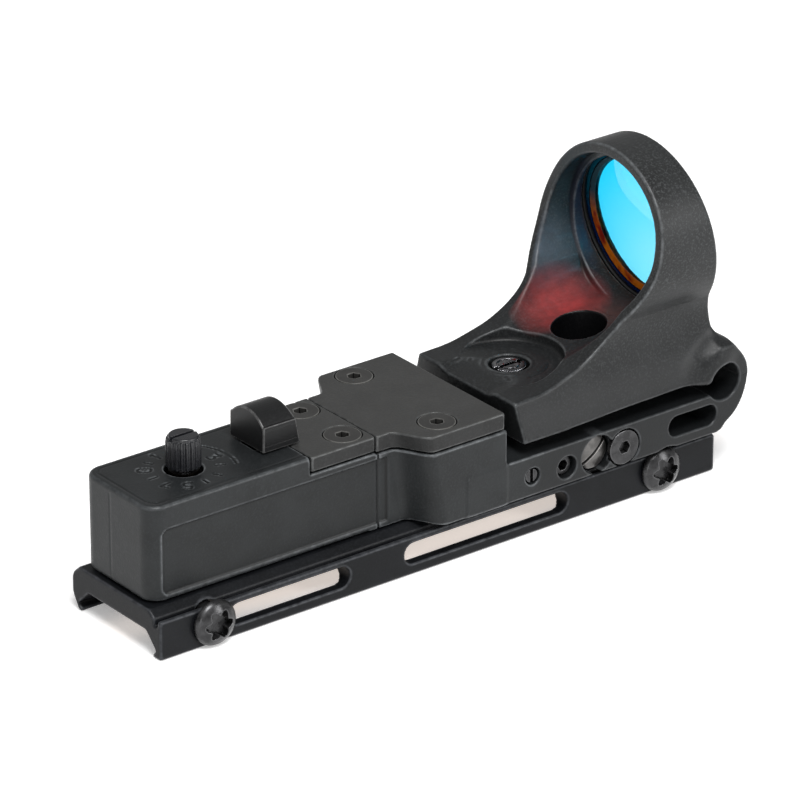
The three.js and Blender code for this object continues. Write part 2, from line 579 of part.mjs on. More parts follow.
const topFrontX = RING_FRONT_X - Math.tan(LENS_TILT) * (60 - RING_Z);
const lowFrontX = RING_FRONT_X + Math.tan(LENS_TILT) * (RING_Z - 27);
const headSide = new THREE.Shape();
headSide.moveTo(HEAD_REAR + 0.5, HEAD_BOTTOM);
headSide.lineTo(HEAD_REAR, DECK_Z - 0.3);
headSide.lineTo(HEAD_REAR + 0.3, DECK_Z);
headSide.lineTo(76.0, DECK_Z + 0.15);
headSide.splineThru([[81.5, 25.9], [85.4, 27.0], [89.1, 29.0], [91.8, 31.0], [93.8, 33.0],
  [96.6, 37.0], [98.7, 41.0], [99.8, 45.0], [100.6, 49.0], [101.2, 54.0], [101.5, 60.0]]
  .map((p) => new THREE.Vector2(...p)));
headSide.lineTo(topFrontX, 60);
headSide.lineTo(lowFrontX, 27);
headSide.quadraticCurveTo(114.6, 24.9, 116.4, 23.6);
headSide.quadraticCurveTo(119.4, 20.6, LOOP_FRONT, PIVOT[1] + WEB_SPLIT);
headSide.lineTo(PIVOT[0], PIVOT[1] + WEB_SPLIT);
headSide.lineTo(111.9, 18.7);
headSide.lineTo(79, HEAD_BOTTOM);

const loopTop = new THREE.Shape();
loopTop.moveTo(105, 18.6);
loopTop.lineTo(105, 19.5);
loopTop.quadraticCurveTo(112, 22.6, 116.4, 23.6);
loopTop.quadraticCurveTo(119.4, 20.6, LOOP_FRONT, PIVOT[1] + WEB_SPLIT);
loopTop.lineTo(PIVOT[0], PIVOT[1] + WEB_SPLIT);
loopTop.lineTo(111.9, 18.7);

let head = alongX(headFront, 60, 130, 0, 28).intersect(alongY(headSide, -20, 20, 0, 3));
head = join(head, alongY(loopTop, -FLARE_HALF, FLARE_HALF, 0, 8));

// A body placed in the lens's own frame: local +Y is the tilted optical axis.
const LENS_AT = [108, 0, RING_Z - 0.2];
function onLensAxis(body) {
  return place(body, [Math.cos(LENS_TILT), 0, Math.sin(LENS_TILT)], LENS_AT);
}
const rearBore = rod([80, 0, RING_Z], [104.5, 0, RING_Z], BORE_R, BORE_R, 56);
const lipBore = rod([95, 0, RING_Z], [125, 0, RING_Z], LIP_R - 0.25, LIP_R - 0.25, 56);
const lensBore = onLensAxis(rod([0, -1.4, 0], [0, 12, 0], LENS_R + 0.25, LENS_R + 0.25, 56));

// Space between the side walls behind the ring, over the ramp.
const ramp = new THREE.Shape();
ramp.moveTo(74, 25.6);
ramp.lineTo(89, 26.55);
ramp.lineTo(107, 29.4);
ramp.lineTo(107, 60);
ramp.lineTo(74, 60);
const throat = new THREE.Shape();
throat.moveTo(-9.0, 24);
throat.lineTo(9.0, 24);
throat.lineTo(9.2, 30.5);
throat.absarc(0, RING_Z, BORE_R, -0.88, Math.PI + 0.88, false);
throat.lineTo(-9.2, 30.5);
const throatCut = alongX(throat, 70, 104.5, 0, 24).intersect(alongY(ramp, -16, 16));
head = cut(head, rearBore, lipBore, lensBore, throatCut,
  rod([PIVOT[0], -20, PIVOT[1]], [PIVOT[0], 20, PIVOT[1]], FLEX_HOLE_R));
// Dish round the elevation screw, the screw's seat and bore, the emitter's hole and tunnel.
head = cut(head,
  rod([...ELEV, DECK_Z], [...ELEV, 40], DISH_R, DISH_R, 44),
  rod([...ELEV, DECK_Z - 2.3], [...ELEV, 40], 3.15 + GAP),
  rod([...ELEV, 10], [...ELEV, 40], 2.0 + GAP),
  rod([EMIT_HOLE[0], EMIT_HOLE[1], 16], [EMIT_HOLE[0], EMIT_HOLE[1], 40], EMIT_HOLE[2]),
  rod([86.2, TOP_CY, 15.6], [96.3, TOP_CY, 27.7], 3.1));
add('head', head, finish.housing);

// Coated lens: concave towards the eye, shallow meniscus.
const lensProfile = [[0, 0.9], [5, 0.99], [9, 1.2], [12, 1.45], [LENS_R, 1.7], [LENS_R, -0.1],
  [12, -0.4], [9, -0.68], [5, -0.92], [0, -1.0]];
add('lens', onLensAxis(turned(lensProfile.slice().reverse(), 48)), finish.glass);
const ringProfile = (rIn, rOut, y0, y1) => [[rIn, y0], [rOut, y0], [rOut, y1], [rIn, y1], [rIn, y0]];
add('lens_gasket', onLensAxis(turned(ringProfile(LIP_R + 0.05, LENS_R - 0.05, -0.95, -0.55), 48)),
  finish.rubber);
add('lens_retaining_ring', onLensAxis(turned(ringProfile(13.45, LENS_R, 2.0, 2.9), 48)),
  finish.black);

// ---------------------------------------------------------------- elevation screw
const elevationProfile = [[0, 10.9], [1.6, 10.9], [2.0, 11.4], [2.0, 22.55], [3.1, 22.55],
  [3.1, 24.2], [2.8, 24.45], [0, 24.45]];
let elevation = place(turned(elevationProfile, 36), [0, 0, 1], [...ELEV, 0]);
elevation = cut(elevation, box(ELEV[0] - 4, ELEV[0] + 4, ELEV[1] - 0.4, ELEV[1] + 0.4, 23.5, 25));
for (let i = 0; i < 18; i += 1) {
  const a = (i / 18) * Math.PI * 2;
  const at = [ELEV[0] + 3.25 * Math.cos(a), ELEV[1] + 3.25 * Math.sin(a)];
  elevation = cut(elevation, rod([...at, 23.2], [...at, 26], 0.32, 0.32, 8));
}
add('elevation_screw', elevation, finish.screw);
const lock = [ELEV_LOCK[0], ELEV_LOCK[1]];
add('elevation_lock_pad', rod([lock[0], -3.6, lock[1]], [lock[0], -2.45, lock[1]], 1.6, 1.6, 24),
  finish.brass);
// Grub screw with a hexagon socket, set below the surface.
const grub = (r, length, hex) => cut(
  turned([[0, -length], [r - 0.3, -length], [r, 0.3 - length], [r, -0.25], [r - 0.25, 0], [0, 0]], 32),
  rod([0, -1.6, 0], [0, 1, 0], hex, hex, 6));
add('elevation_lock_screw', place(grub(1.7, 9.9, 1.0), [0, -1, 0], [lock[0], NEAR + 1.2, lock[1]]),
  finish.screw);

// ---------------------------------------------------------------- windage
let windage = place(turned([[0, -9.4], [1.45, -9.4], [1.75, -9.0], [1.75, 0], [3.1, 0], [3.1, 1.2],
  [2.8, 1.5], [0, 1.5]], 36), [0, -1, 0], [WIND[0], NEAR + WIND_SEAT, WIND[1]]);
const slotTurn = place(box(-4, 4, 0.75, 3, -0.42, 0.42), [0, 1, 0], [0, 0, 0])
  .rotate([0, -38, 0]).rotate([180, 0, 0]).translate([WIND[0], NEAR + WIND_SEAT, WIND[1]]);
windage = cut(windage, slotTurn);
add('windage_screw', windage, finish.screw);
const lockProfile = [[0, -5.0], [1.2, -5.0], [1.5, -4.6], [1.5, 0], [3.05, 0], [3.05, 0.7],
  [2.8, 0.95], [0, 0.95]];
add('windage_lock_screw', cut(
  place(turned(lockProfile, 36), [0, -1, 0], [WIND_LOCK[0], NEAR + 1.0, WIND_LOCK[1]]),
  rod([WIND_LOCK[0], -20, WIND_LOCK[1]], [WIND_LOCK[0], NEAR + 1.6, WIND_LOCK[1]], 1.155, 1.155, 6)),
finish.screw);
add('guide_set_screw', cut(
  place(turned([[0, -4], [1.0, -4], [1.25, -3.7], [1.25, -0.2], [1.05, 0], [0, 0]], 28),
    [0, -1, 0], [GUIDE_SET[0], NEAR + 0.35, GUIDE_SET[1]]),
  box(GUIDE_SET[0] - 0.22, GUIDE_SET[0] + 0.22, NEAR - 1, NEAR + 1.0, 8, 16)), finish.screw);

// Emitter carriage, moved sideways by the windage screw.
let carriage = join(
  box(84.0, 91.0, -4.2, 5.4, 9.95, 14.9),
  box(85.2, 89.6, -2.6, 3.4, 14.5, 15.4));
carriage = cut(carriage, rod([WIND[0], -9, WIND[1]], [WIND[0], 1.6, WIND[1]], 1.75 + GAP),
  rod([WIND[0], 3.4, WIND[1]], [WIND[0], 9, WIND[1]], 1.6, 1.6, 24),
  rod([WIND[0], TOP_CY, 13.9], [WIND[0], TOP_CY, 20], 1.55 + GAP, 1.55 + GAP, 28));
add('emitter_carriage', carriage, finish.brass);
add('led_emitter', place(turned([[0, 14.1], [1.5, 14.1], [1.5, 15.0], [1.3, 15.5], [0.8, 15.95],
  [0, 16.1]], 28), [0, 0, 1], [WIND[0], TOP_CY, 0]), finish.led);
class HelixY extends Helix {
  getPoint(t) {
    const a = t * this.turns * Math.PI * 2;
    return new THREE.Vector3(this.at[0] + this.r * Math.cos(a), this.at[1] + this.height * t,
      this.at[2] + this.r * Math.sin(a));
  }
}
add('carriage_spring', tube(new HelixY([WIND[0], 3.8, WIND[1]], 1.2, 4.3, 5), 0.2, 60),
  finish.steel);

export default group;
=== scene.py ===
import json
import math
import bmesh
import bpy
import numpy as np
from mathutils import Matrix, Vector


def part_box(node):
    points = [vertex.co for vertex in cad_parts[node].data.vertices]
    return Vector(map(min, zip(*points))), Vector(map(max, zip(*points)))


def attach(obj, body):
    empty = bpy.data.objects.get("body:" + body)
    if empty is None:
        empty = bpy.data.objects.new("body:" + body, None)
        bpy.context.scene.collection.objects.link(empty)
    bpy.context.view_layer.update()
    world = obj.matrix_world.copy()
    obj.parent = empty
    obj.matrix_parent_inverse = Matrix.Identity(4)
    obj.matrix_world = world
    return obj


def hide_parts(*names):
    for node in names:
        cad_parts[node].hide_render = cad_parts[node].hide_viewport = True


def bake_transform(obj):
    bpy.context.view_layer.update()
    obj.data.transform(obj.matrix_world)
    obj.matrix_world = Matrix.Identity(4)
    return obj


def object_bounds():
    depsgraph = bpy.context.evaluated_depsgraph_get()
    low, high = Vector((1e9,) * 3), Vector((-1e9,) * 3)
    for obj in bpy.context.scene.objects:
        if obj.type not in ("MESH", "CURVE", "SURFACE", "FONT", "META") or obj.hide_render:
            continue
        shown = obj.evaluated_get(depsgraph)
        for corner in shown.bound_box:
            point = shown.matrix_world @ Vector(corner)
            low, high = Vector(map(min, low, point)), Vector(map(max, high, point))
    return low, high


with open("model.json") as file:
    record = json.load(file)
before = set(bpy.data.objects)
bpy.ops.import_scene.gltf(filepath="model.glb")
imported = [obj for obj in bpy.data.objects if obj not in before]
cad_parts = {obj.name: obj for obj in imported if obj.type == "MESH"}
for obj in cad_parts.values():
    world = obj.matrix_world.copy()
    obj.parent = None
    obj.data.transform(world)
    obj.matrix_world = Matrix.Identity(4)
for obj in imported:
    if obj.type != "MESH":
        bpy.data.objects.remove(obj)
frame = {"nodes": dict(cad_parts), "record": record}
CAD_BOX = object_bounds()

# Shapes are drawn in millimetres with x = 0 at the base's rear end; metres come in at the end.
ORIGIN = np.array([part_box("base_rail_clamp")[0].x * 1000, 0.0, 0.0])
COARSE = 1.0


def node_box(name):
    """Lowest and highest corner of a CAD node, in the drawing frame."""
    return [np.array(corner) * 1000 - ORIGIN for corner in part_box(name)]


def middle(name):
    lo, hi = node_box(name)
    return (lo + hi) / 2


def metres(points):
    """Points of the drawing frame as Blender has them."""
    return (np.array(points) + ORIGIN) * 0.001


# ---------- driving dimensions
BASE_LO, BASE_HI = node_box("base_rail_clamp")
HOUSING_LO = node_box("housing")[0]
HEAD_LO, HEAD_HI = node_box("head")
BATTERY_LO, BATTERY_HI = node_box("battery_cover")
FRONT_LO, FRONT_HI = node_box("front_cover")
TOP_Z = BATTERY_HI[2]
BODY_HALF = BATTERY_HI[1]
WIDE_HALF = FRONT_HI[1]
NEAR = -WIDE_HALF
LOOP_FRONT = HEAD_HI[0]
ARM_TOP = 15.5
LOOP_STEP = 0.29                        # grid step of the housing and the head, which meet in the loop
RAIL_SEAT_Z = 4.0
RAIL_Y = -0.7
WALL_Y = BASE_LO[1]
PIVOT = (114.6, 17.4)                   # x, z of the round hole in the loop
FLEX_HOLE_R = 3.3
ARM_SLOT = (107.9, 12.0, 3.35, 1.85)    # x, z, half length and radius
RING_Z = 42.5
RING_R = 15.9
BORE_R = 13.9
RING_FRONT_X = 111.7
LENS_TILT = math.radians(8)
LENS_AT = (108.0, 42.3)                 # x, z
LENS_R = 14.0
LENS_BACK, LENS_FACE = -1.0, 0.9        # middles of the lens's faces along its axis
BACK_CURVE, FACE_CURVE = 110, 120
DECK_Z = 24.6
DISH_R = 9.25
EMIT_HOLE = (95.6, 0.3, 4.6)            # x, y and radius
KNOB = middle("brightness_knob")[:2]
KNOB_HOLE_R = 3.2
BAY = (4.2, 24.6, -6.6, 6.6)            # rheostat bay: x, x, y, y
CELL = middle("button_cell_1")[:2]
CELL_WELL_R = 4.25
ELEV = middle("elevation_screw")[:2]
WIND = middle("windage_screw")[[0, 2]]
WIND_LOCK = middle("windage_lock_screw")[[0, 2]]
ELEV_LOCK = middle("elevation_lock_screw")[[0, 2]]
GUIDE_SET = middle("guide_set_screw")[[0, 2]]
WIND_SEAT = 2.9
TOP_CY = middle("battery_latch")[1]
COVER_GAP = 0.3
SEAM_REAR = BATTERY_LO[0] - COVER_GAP
SEAM_MID = BATTERY_HI[0] + COVER_GAP / 2
WINDOW_Z, WINDOW_R = 3.85, 1.9
WINDOWS = ((13.6, 37.7), (48.8, 82.9))
CLAMP_X = [middle(f"clamp_screw_{end}")[0] for end in ("rear", "front")]
CLAMP_Z = middle("clamp_screw_rear")[2]
BASE_BOLTS = [f"base_bolt_{place}" for place in ("rear", "middle", "front")]
COVER_SCREWS = [f"{name}_cover_screw_{side}" for name in ("battery", "front") for side in ("near", "far")]
SCREW_RING = 3.32
SCREW_HOLE_R = 1.8
CAMERA_AT = Vector((-0.53585, -0.69474, 0.43476))
CAMERA_LENS = 266.17
CAMERA_DEGREES = (-37.528, 25.0906, 0.0202)   # azimuth, elevation, roll
LIGHT_TARGET = Vector((0, 0, 0.02))


# ---------- distance fields
class Grid:
    """A regular grid of points. Grids of the same step line up with each other."""

    def __init__(self, lo, hi, step):
        self.step = step * COARSE
        first = np.floor(np.array(lo) / self.step - 2)
        last = np.ceil(np.array(hi) / self.step + 2)
        self.lo = first * self.step
        counts = (last - first).astype(int) + 1
        lines = [(self.lo[i] + self.step * np.arange(counts[i])).astype(np.float32) for i in range(3)]
        self.x = lines[0][:, None, None]
        self.y = lines[1][None, :, None]
        self.z = lines[2][None, None, :]

    def axes(self):
        return self.x, self.y, self.z

    def part(self, lo, hi):
        """The slices between two corners, and a grid of just those points."""
        a = np.floor((np.array(lo) - self.lo) / self.step).astype(int) - 2
        b = np.ceil((np.array(hi) - self.lo) / self.step).astype(int) + 3
        a = np.maximum(a, 0)
        s = tuple(slice(i, j) for i, j in zip(a, np.maximum(b, a + 1)))
        piece = Grid.__new__(Grid)
        piece.step, piece.lo = self.step, self.lo + a * self.step
        piece.x, piece.y, piece.z = self.x[s[0]], self.y[:, s[1]], self.z[:, :, s[2]]
        return s, piece

    def sample(self, d, points):
        """The field at any points, by trilinear interpolation."""
        q = (points - self.lo) / self.step
        i = np.clip(np.floor(q).astype(int), 0, np.array(d.shape) - 2)
        f = q - i
        total = np.zeros(len(points))
        for corner in range(8):
            o = [(corner >> k) & 1 for k in range(3)]
            weight = np.prod([f[:, k] if o[k] else 1 - f[:, k] for k in range(3)], axis=0)
            total += weight * d[i[:, 0] + o[0], i[:, 1] + o[1], i[:, 2] + o[2]]
        return total

    def slope(self, d, points):
        """The field's gradient at any points."""
        h = 0.6 * self.step
        rise = [self.sample(d, points + h * e) - self.sample(d, points - h * e) for e in np.eye(3)]
        return np.stack(rise, axis=1) / (2 * h)


def both(a, b, r=0.0):
    """What is inside both, with the edge between them rounded to radius r."""
    if r <= 0:
        return np.maximum(a, b)
    corner = np.hypot(np.maximum(a + r, 0), np.maximum(b + r, 0))
    return np.minimum(np.maximum(a, b), -r) + corner


def either(a, b, r=0.0):
    """What is inside either, with a fillet of radius r between them."""
    return -both(-a, -b, r)


def less(a, b, r=0.0):
    """a without b, with the edge rounded to radius r."""
    return both(a, -b, r)


def slab(w, w0, w1):
    return np.abs(w - (w0 + w1) / 2) - (w1 - w0) / 2


def disc(u, v, at, r):
    return np.hypot(u - at[0], v - at[1]) - r


def rect(u, v, u0, u1, v0, v1, r=0.0):
    a = np.abs(u - (u0 + u1) / 2) - (u1 - u0) / 2 + r
    b = np.abs(v - (v0 + v1) / 2) - (v1 - v0) / 2 + r
    return np.hypot(np.maximum(a, 0), np.maximum(b, 0)) + np.minimum(np.maximum(a, b), 0) - r


def rod(away, r, w, w0, w1, soft=0.0):
    """A round bar, from the distance to its axis and the place along it."""
    return both(away - r, slab(w, w0, w1), soft)


def stroke(u, v, points, r):
    """A line of width 2 r through the points."""
    best = None
    for (u0, v0), (u1, v1) in zip(points, points[1:]):
        du, dv = u1 - u0, v1 - v0
        t = np.clip(((u - u0) * du + (v - v0) * dv) / max(du * du + dv * dv, 1e-9), 0, 1)
        far = np.hypot(u - u0 - t * du, v - v0 - t * dv)
        best = far if best is None else np.minimum(best, far)
    return best - r


def outline(u, v, points):
    """Inside a closed outline of points."""
    best = np.full(np.broadcast_shapes(u.shape, v.shape), 1e9, np.float32)
    inside = np.zeros(best.shape, bool)
    for (u0, v0), (u1, v1) in zip(points, points[1:] + points[:1]):
        du, dv = u1 - u0, v1 - v0
        if du * du + dv * dv < 1e-12:
            continue
        t = np.clip(((u - u0) * du + (v - v0) * dv) / (du * du + dv * dv), 0, 1)
        best = np.minimum(best, (u - u0 - t * du) ** 2 + (v - v0 - t * dv) ** 2)
        if dv:
            inside ^= ((v0 <= v) != (v1 <= v)) & (u < u0 + (v - v0) * du / dv)
    return np.where(inside, -1, 1).astype(np.float32) * np.sqrt(best)


def rounded(corners):
    """A closed outline from corners (u, v) or (u, v, radius), which have an arc."""
    points = []
    steps = 7
    for i, corner in enumerate(corners):
        p = np.array(corner[:2], float)
        if len(corner) == 2:
            points.append(tuple(p))
            continue
        a = np.array(corners[i - 1][:2], float) - p
        b = np.array(corners[(i + 1) % len(corners)][:2], float) - p
        room = 0.49 * min(np.linalg.norm(a), np.linalg.norm(b))
        a, b = a / np.linalg.norm(a), b / np.linalg.norm(b)
        half = math.acos(max(-1.0, min(1.0, float(a @ b)))) / 2
        reach = min(corner[2] / math.tan(half), room)
        r = reach * math.tan(half)
        centre = p + (a + b) / np.linalg.norm(a + b) * r / math.sin(half)
        start, end = p + a * reach - centre, p + b * reach - centre
        a0 = math.atan2(start[1], start[0])
        turn = (math.atan2(end[1], end[0]) - a0 + math.pi) % (2 * math.pi) - math.pi
        for k in range(steps + 1):
            angle = a0 + turn * k / steps
            points.append((centre[0] + r * math.cos(angle), centre[1] + r * math.sin(angle)))
    return points


def spline(points, steps):
    """A smooth line through the points."""
    p = [np.array(q, float) for q in points]
    p = [2 * p[0] - p[1], *p, 2 * p[-1] - p[-2]]
    line = []
    for a, b, c, d in zip(p, p[1:], p[2:], p[3:]):
        for k in range(steps):
            t = k / steps
            q = b + t / 2 * (c - a + t * (2 * a - 5 * b + 4 * c - d + t * (3 * (b - c) + d - a)))
            line.append(tuple(q))
    return line + [tuple(p[-2])]


def arc(at, r, a0, a1, steps):
    """Points on an arc, angles in radians."""
    turn = [a0 + (a1 - a0) * k / steps for k in range(steps + 1)]
    return [(at[0] + r * math.cos(a), at[1] + r * math.sin(a)) for a in turn]


def carve(grid, d, lo, hi, tool, r, add=False):
    """Cuts a tool, which is a function of a grid, out of d between two corners, or adds it."""
    s, piece = grid.part(lo, hi)
    d[s] = either(d[s], tool(piece), r) if add else less(d[s], tool(piece), r)


def bore(grid, d, axis, at, r, start, end, soft=0.1):
    """Cuts a round hole along axis 0, 1 or 2, from start to end on it."""
    u, v = [k for k in range(3) if k != axis]
    lo, hi = np.full(3, start - 1.0), np.full(3, end + 1.0)
    lo[[u, v]] = np.array(at) - r - 1
    hi[[u, v]] = np.array(at) + r + 1

    def tool(g):
        line = g.axes()
        return both(disc(line[u], line[v], at, r), slab(line[axis], start, end))

    carve(grid, d, lo, hi, tool, soft)


def pocket(grid, d, sides, corner, bottom, top, soft=0.1):
    """Cuts a pocket with upright sides x, x, y, y between two heights."""
    x0, x1, y0, y1 = sides
    carve(grid, d, (x0 - 1, y0 - 1, bottom - 1), (x1 + 1, y1 + 1, top + 1),
          lambda g: both(rect(g.x, g.y, *sides, corner), slab(g.z, bottom, top)), soft)


def stepped_hole(grid, d, at, wide, r, bottom, top, soft):
    """Cuts an upright hole of radius r right through, wider between two heights."""
    reach = wide + 1
    carve(grid, d, (*(at - reach), 0), (*(at + reach), TOP_Z), lambda g: either(
        both(disc(g.x, g.y, at, wide), slab(g.z, bottom, top)), disc(g.x, g.y, at, r) + 0 * g.z), soft)


# ---------- meshes
def place(name, data):
    """A new object in the scene."""
    thing = bpy.data.objects.new(name, data)
    bpy.context.scene.collection.objects.link(thing)
    return thing


def skin(grid, d):
    """Points and quads of the surface d = 0, with one point in each cell that it crosses."""
    inside = d < 0
    cells, spots, flips = [], [], []
    count = np.array(d.shape)
    for axis in range(3):
        u, v = (axis + 1) % 3, (axis + 2) % 3
        near = np.take(inside, np.arange(count[axis] - 1), axis)
        far = np.take(inside, np.arange(1, count[axis]), axis)
        at = np.stack(np.nonzero(near ^ far), axis=1)
        at = at[(at[:, u] > 0) & (at[:, v] > 0) & (at[:, u] < count[u] - 1) & (at[:, v] < count[v] - 1)]
        step = np.eye(3, dtype=int)
        d0 = d[tuple(at.T)]
        d1 = d[tuple((at + step[axis]).T)]
        spot = at.astype(float)
        spot[:, axis] += d0 / (d0 - d1)
        ring = [at - step[u] - step[v], at - step[v], at, at - step[u]]
        cells.append(np.stack([np.ravel_multi_index(tuple(c.T), d.shape) for c in ring], axis=1))
        spots.append(spot)
        flips.append(~near[tuple(at.T)])
    cells, spots, flips = np.concatenate(cells), np.concatenate(spots), np.concatenate(flips)
    _, index = np.unique(cells.ravel(), return_inverse=True)
    index = index.ravel()
    share = np.bincount(index)
    points = np.stack([np.bincount(index, np.repeat(spots[:, k], 4)) / share for k in range(3)], axis=1)
    points = grid.lo + points * grid.step
    for _ in range(2):
        g = grid.slope(d, points)
        away = np.clip(grid.sample(d, points), -0.4 * grid.step, 0.4 * grid.step)
        points -= g * (away / np.maximum((g * g).sum(1), 0.2))[:, None]
    quads = index.reshape(-1, 4)
    quads[flips] = quads[flips][:, ::-1]
    return points, quads


def make_mesh(name, points, quads):
    mesh = bpy.data.meshes.new(name)
    mesh.vertices.add(len(points))
    mesh.vertices.foreach_set("co", metres(points).astype(np.float32).ravel())
    mesh.loops.add(quads.size)
    mesh.loops.foreach_set("vertex_index", quads.astype(np.int32).ravel())
    mesh.polygons.add(len(quads))
    mesh.polygons.foreach_set("loop_start", np.arange(0, quads.size, 4, dtype=np.int32))
    mesh.update(calc_edges=True)
    return mesh


def close_holes(mesh):
    """Closes the rims that are left where keep has taken faces away."""
    b = bmesh.new()
    b.from_mesh(mesh)
    rim = [e for e in b.edges if e.is_boundary]
    if rim:
        bmesh.ops.holes_fill(b, edges=rim, sides=0)
    b.to_mesh(mesh)
    b.free()


def solid(name, grid, d, body, slot, look, nodes, keep=None):
    """A finished piece from its distance field. keep says which faces stay, by their middles."""
    points, quads = skin(grid, d)
    if keep is not None:
        quads = quads[keep(points[quads].mean(axis=1))]
        used, quads = np.unique(quads.ravel(), return_inverse=True)
        points, quads = points[used], quads.reshape(-1, 4)
    mesh = make_mesh(name, points, quads)
    if keep is not None:
        close_holes(mesh)
    piece = place(name, mesh)
    shade(mesh, grid, d)
    finish(piece, body, slot, look, nodes)
    return piece


def shade(mesh, grid, d):
    """Sets the normals from the field, and the attribute "edge" to how sharply it bends outward."""
    points = np.zeros(len(mesh.vertices) * 3, np.float32)
    mesh.vertices.foreach_get("co", points)
    points = points.reshape(-1, 3) * 1000.0 - ORIGIN
    normals = grid.slope(d, points)
    normals /= np.maximum(np.linalg.norm(normals, axis=1), 1e-6)[:, None]
    h = 1.2 * grid.step
    bend = -6 * grid.sample(d, points)
    for e in np.eye(3):
        bend += grid.sample(d, points + h * e) + grid.sample(d, points - h * e)
    mesh.polygons.foreach_set("use_smooth", np.ones(len(mesh.polygons), bool))
    mesh.normals_split_custom_set_from_vertices(normals.tolist())
    bend = (bend / (h * h)).astype(np.float32)
    mesh.attributes.new("edge", "FLOAT", "POINT").data.foreach_set("value", bend)


def finish(piece, body, slot, look, nodes):
    """Gives a piece its look, its body if it has one, and the nodes it replaces."""
    piece.data.materials.clear()
    piece.data.materials.append(look.material)
    if body is not None:
        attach(piece, body)
    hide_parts(*nodes)


# ---------- materials
class Look:
    """A node material, with short names for the nodes it is built from."""

    def __init__(self, name):
        self.material = bpy.data.materials.new(name)
        self.material.use_nodes = True
        self.tree = self.material.node_tree
        self.shader = self.tree.nodes["Principled BSDF"]
        self.place = self.node("ShaderNodeTexCoord").outputs["Object"]

    def node(self, kind, **values):
        n = self.tree.nodes.new(kind)
        for name, value in values.items():
            setattr(n, name, value)
        return n

    def put(self, socket, value):
        if isinstance(value, bpy.types.NodeSocket):
            self.tree.links.new(value, socket)
        elif isinstance(value, tuple) and len(value) == 3 and socket.type == "RGBA":
            socket.default_value = (*value, 1)
        else:
            socket.default_value = value

    def set(self, name, value):
        self.put(self.shader.inputs[name], value)
        return self

    def noise(self, size, detail, rough=0.55):
        """Noise from 0 to 1 whose lumps are about size millimetres across."""
        n = self.node("ShaderNodeTexNoise")
        self.put(n.inputs["Vector"], self.place)
        n.inputs["Scale"].default_value = 1000.0 / size
        n.inputs["Detail"].default_value = detail
        n.inputs["Roughness"].default_value = rough
        return n.outputs["Fac"]

    def math(self, operation, a, b):
        n = self.node("ShaderNodeMath", operation=operation)
        self.put(n.inputs[0], a)
        self.put(n.inputs[1], b)
        return n.outputs[0]

    def span(self, value, lo, hi, to_lo=0.0, to_hi=1.0, smooth=True):
        """Value taken from lo..hi to to_lo..to_hi."""
        n = self.node("ShaderNodeMapRange", clamp=True)
        n.interpolation_type = "SMOOTHSTEP" if smooth else "LINEAR"
        self.put(n.inputs["Value"], value)
        for name, v in (("From Min", lo), ("From Max", hi), ("To Min", to_lo), ("To Max", to_hi)):
            self.put(n.inputs[name], v)
        return n.outputs["Result"]

    def mix(self, share, a, b):
        n = self.node("ShaderNodeMix", data_type="RGBA")
        self.put(n.inputs[0], share)
        self.put(n.inputs[6], a)
        self.put(n.inputs[7], b)
        return n.outputs[2]

    def bend(self, lo, hi):
        """From 0 at bend lo to 1 at bend hi, per millimetre: outer edges are positive, grooves negative."""
        return self.span(self.node("ShaderNodeAttribute", attribute_name="edge").outputs["Fac"], lo, hi)

    def parts(self, vector):
        """The x, y and z of a vector."""
        n = self.node("ShaderNodeSeparateXYZ")
        self.put(n.inputs[0], vector)
        return n.outputs

    def height(self):
        """Millimetres above the rail side of the base."""
        return self.math("MULTIPLY", self.parts(self.place)["Z"], 1000.0)

    def reach(self, at, radii):
        """Distance from a point of the drawing frame, in units of the radii given along x, y and z."""
        m = self.node("ShaderNodeMapping")
        self.put(m.inputs["Vector"], self.place)
        scale = 1000.0 / np.array(radii, float)
        m.inputs["Location"].default_value = tuple(-metres(at) * scale)
        m.inputs["Scale"].default_value = tuple(scale)
        n = self.node("ShaderNodeVectorMath", operation="LENGTH")
        self.put(n.inputs[0], m.outputs["Vector"])
        return n.outputs["Value"]

    def lens_depth(self):
        """Millimetres ahead of the lens's middle, along its tilted axis."""
        x, z = LENS_AT[0] + ORIGIN[0], LENS_AT[1]
        c, s = math.cos(LENS_TILT), math.sin(LENS_TILT)
        n = self.node("ShaderNodeVectorMath", operation="DOT_PRODUCT")
        self.put(n.inputs[0], self.place)
        n.inputs[1].default_value = (1000 * c, 0.0, 1000 * s)
        return self.math("SUBTRACT", n.outputs["Value"], x * c + z * s)

    def bumps(self, *layers):
        """Bump from (height, strength, depth in millimetres) layers, one on the other."""
        last = None
        for height, strength, depth in layers:
            n = self.node("ShaderNodeBump")
            n.inputs["Strength"].default_value = strength
            n.inputs["Distance"].default_value = depth * 0.001
            self.put(n.inputs["Height"], height)
            if last is not None:
                self.put(n.inputs["Normal"], last)
            last = n.outputs["Normal"]
        return self.set("Normal", last)


def times(tone, share):
    """A colour made darker or lighter."""
    return tuple(c * share for c in tone)


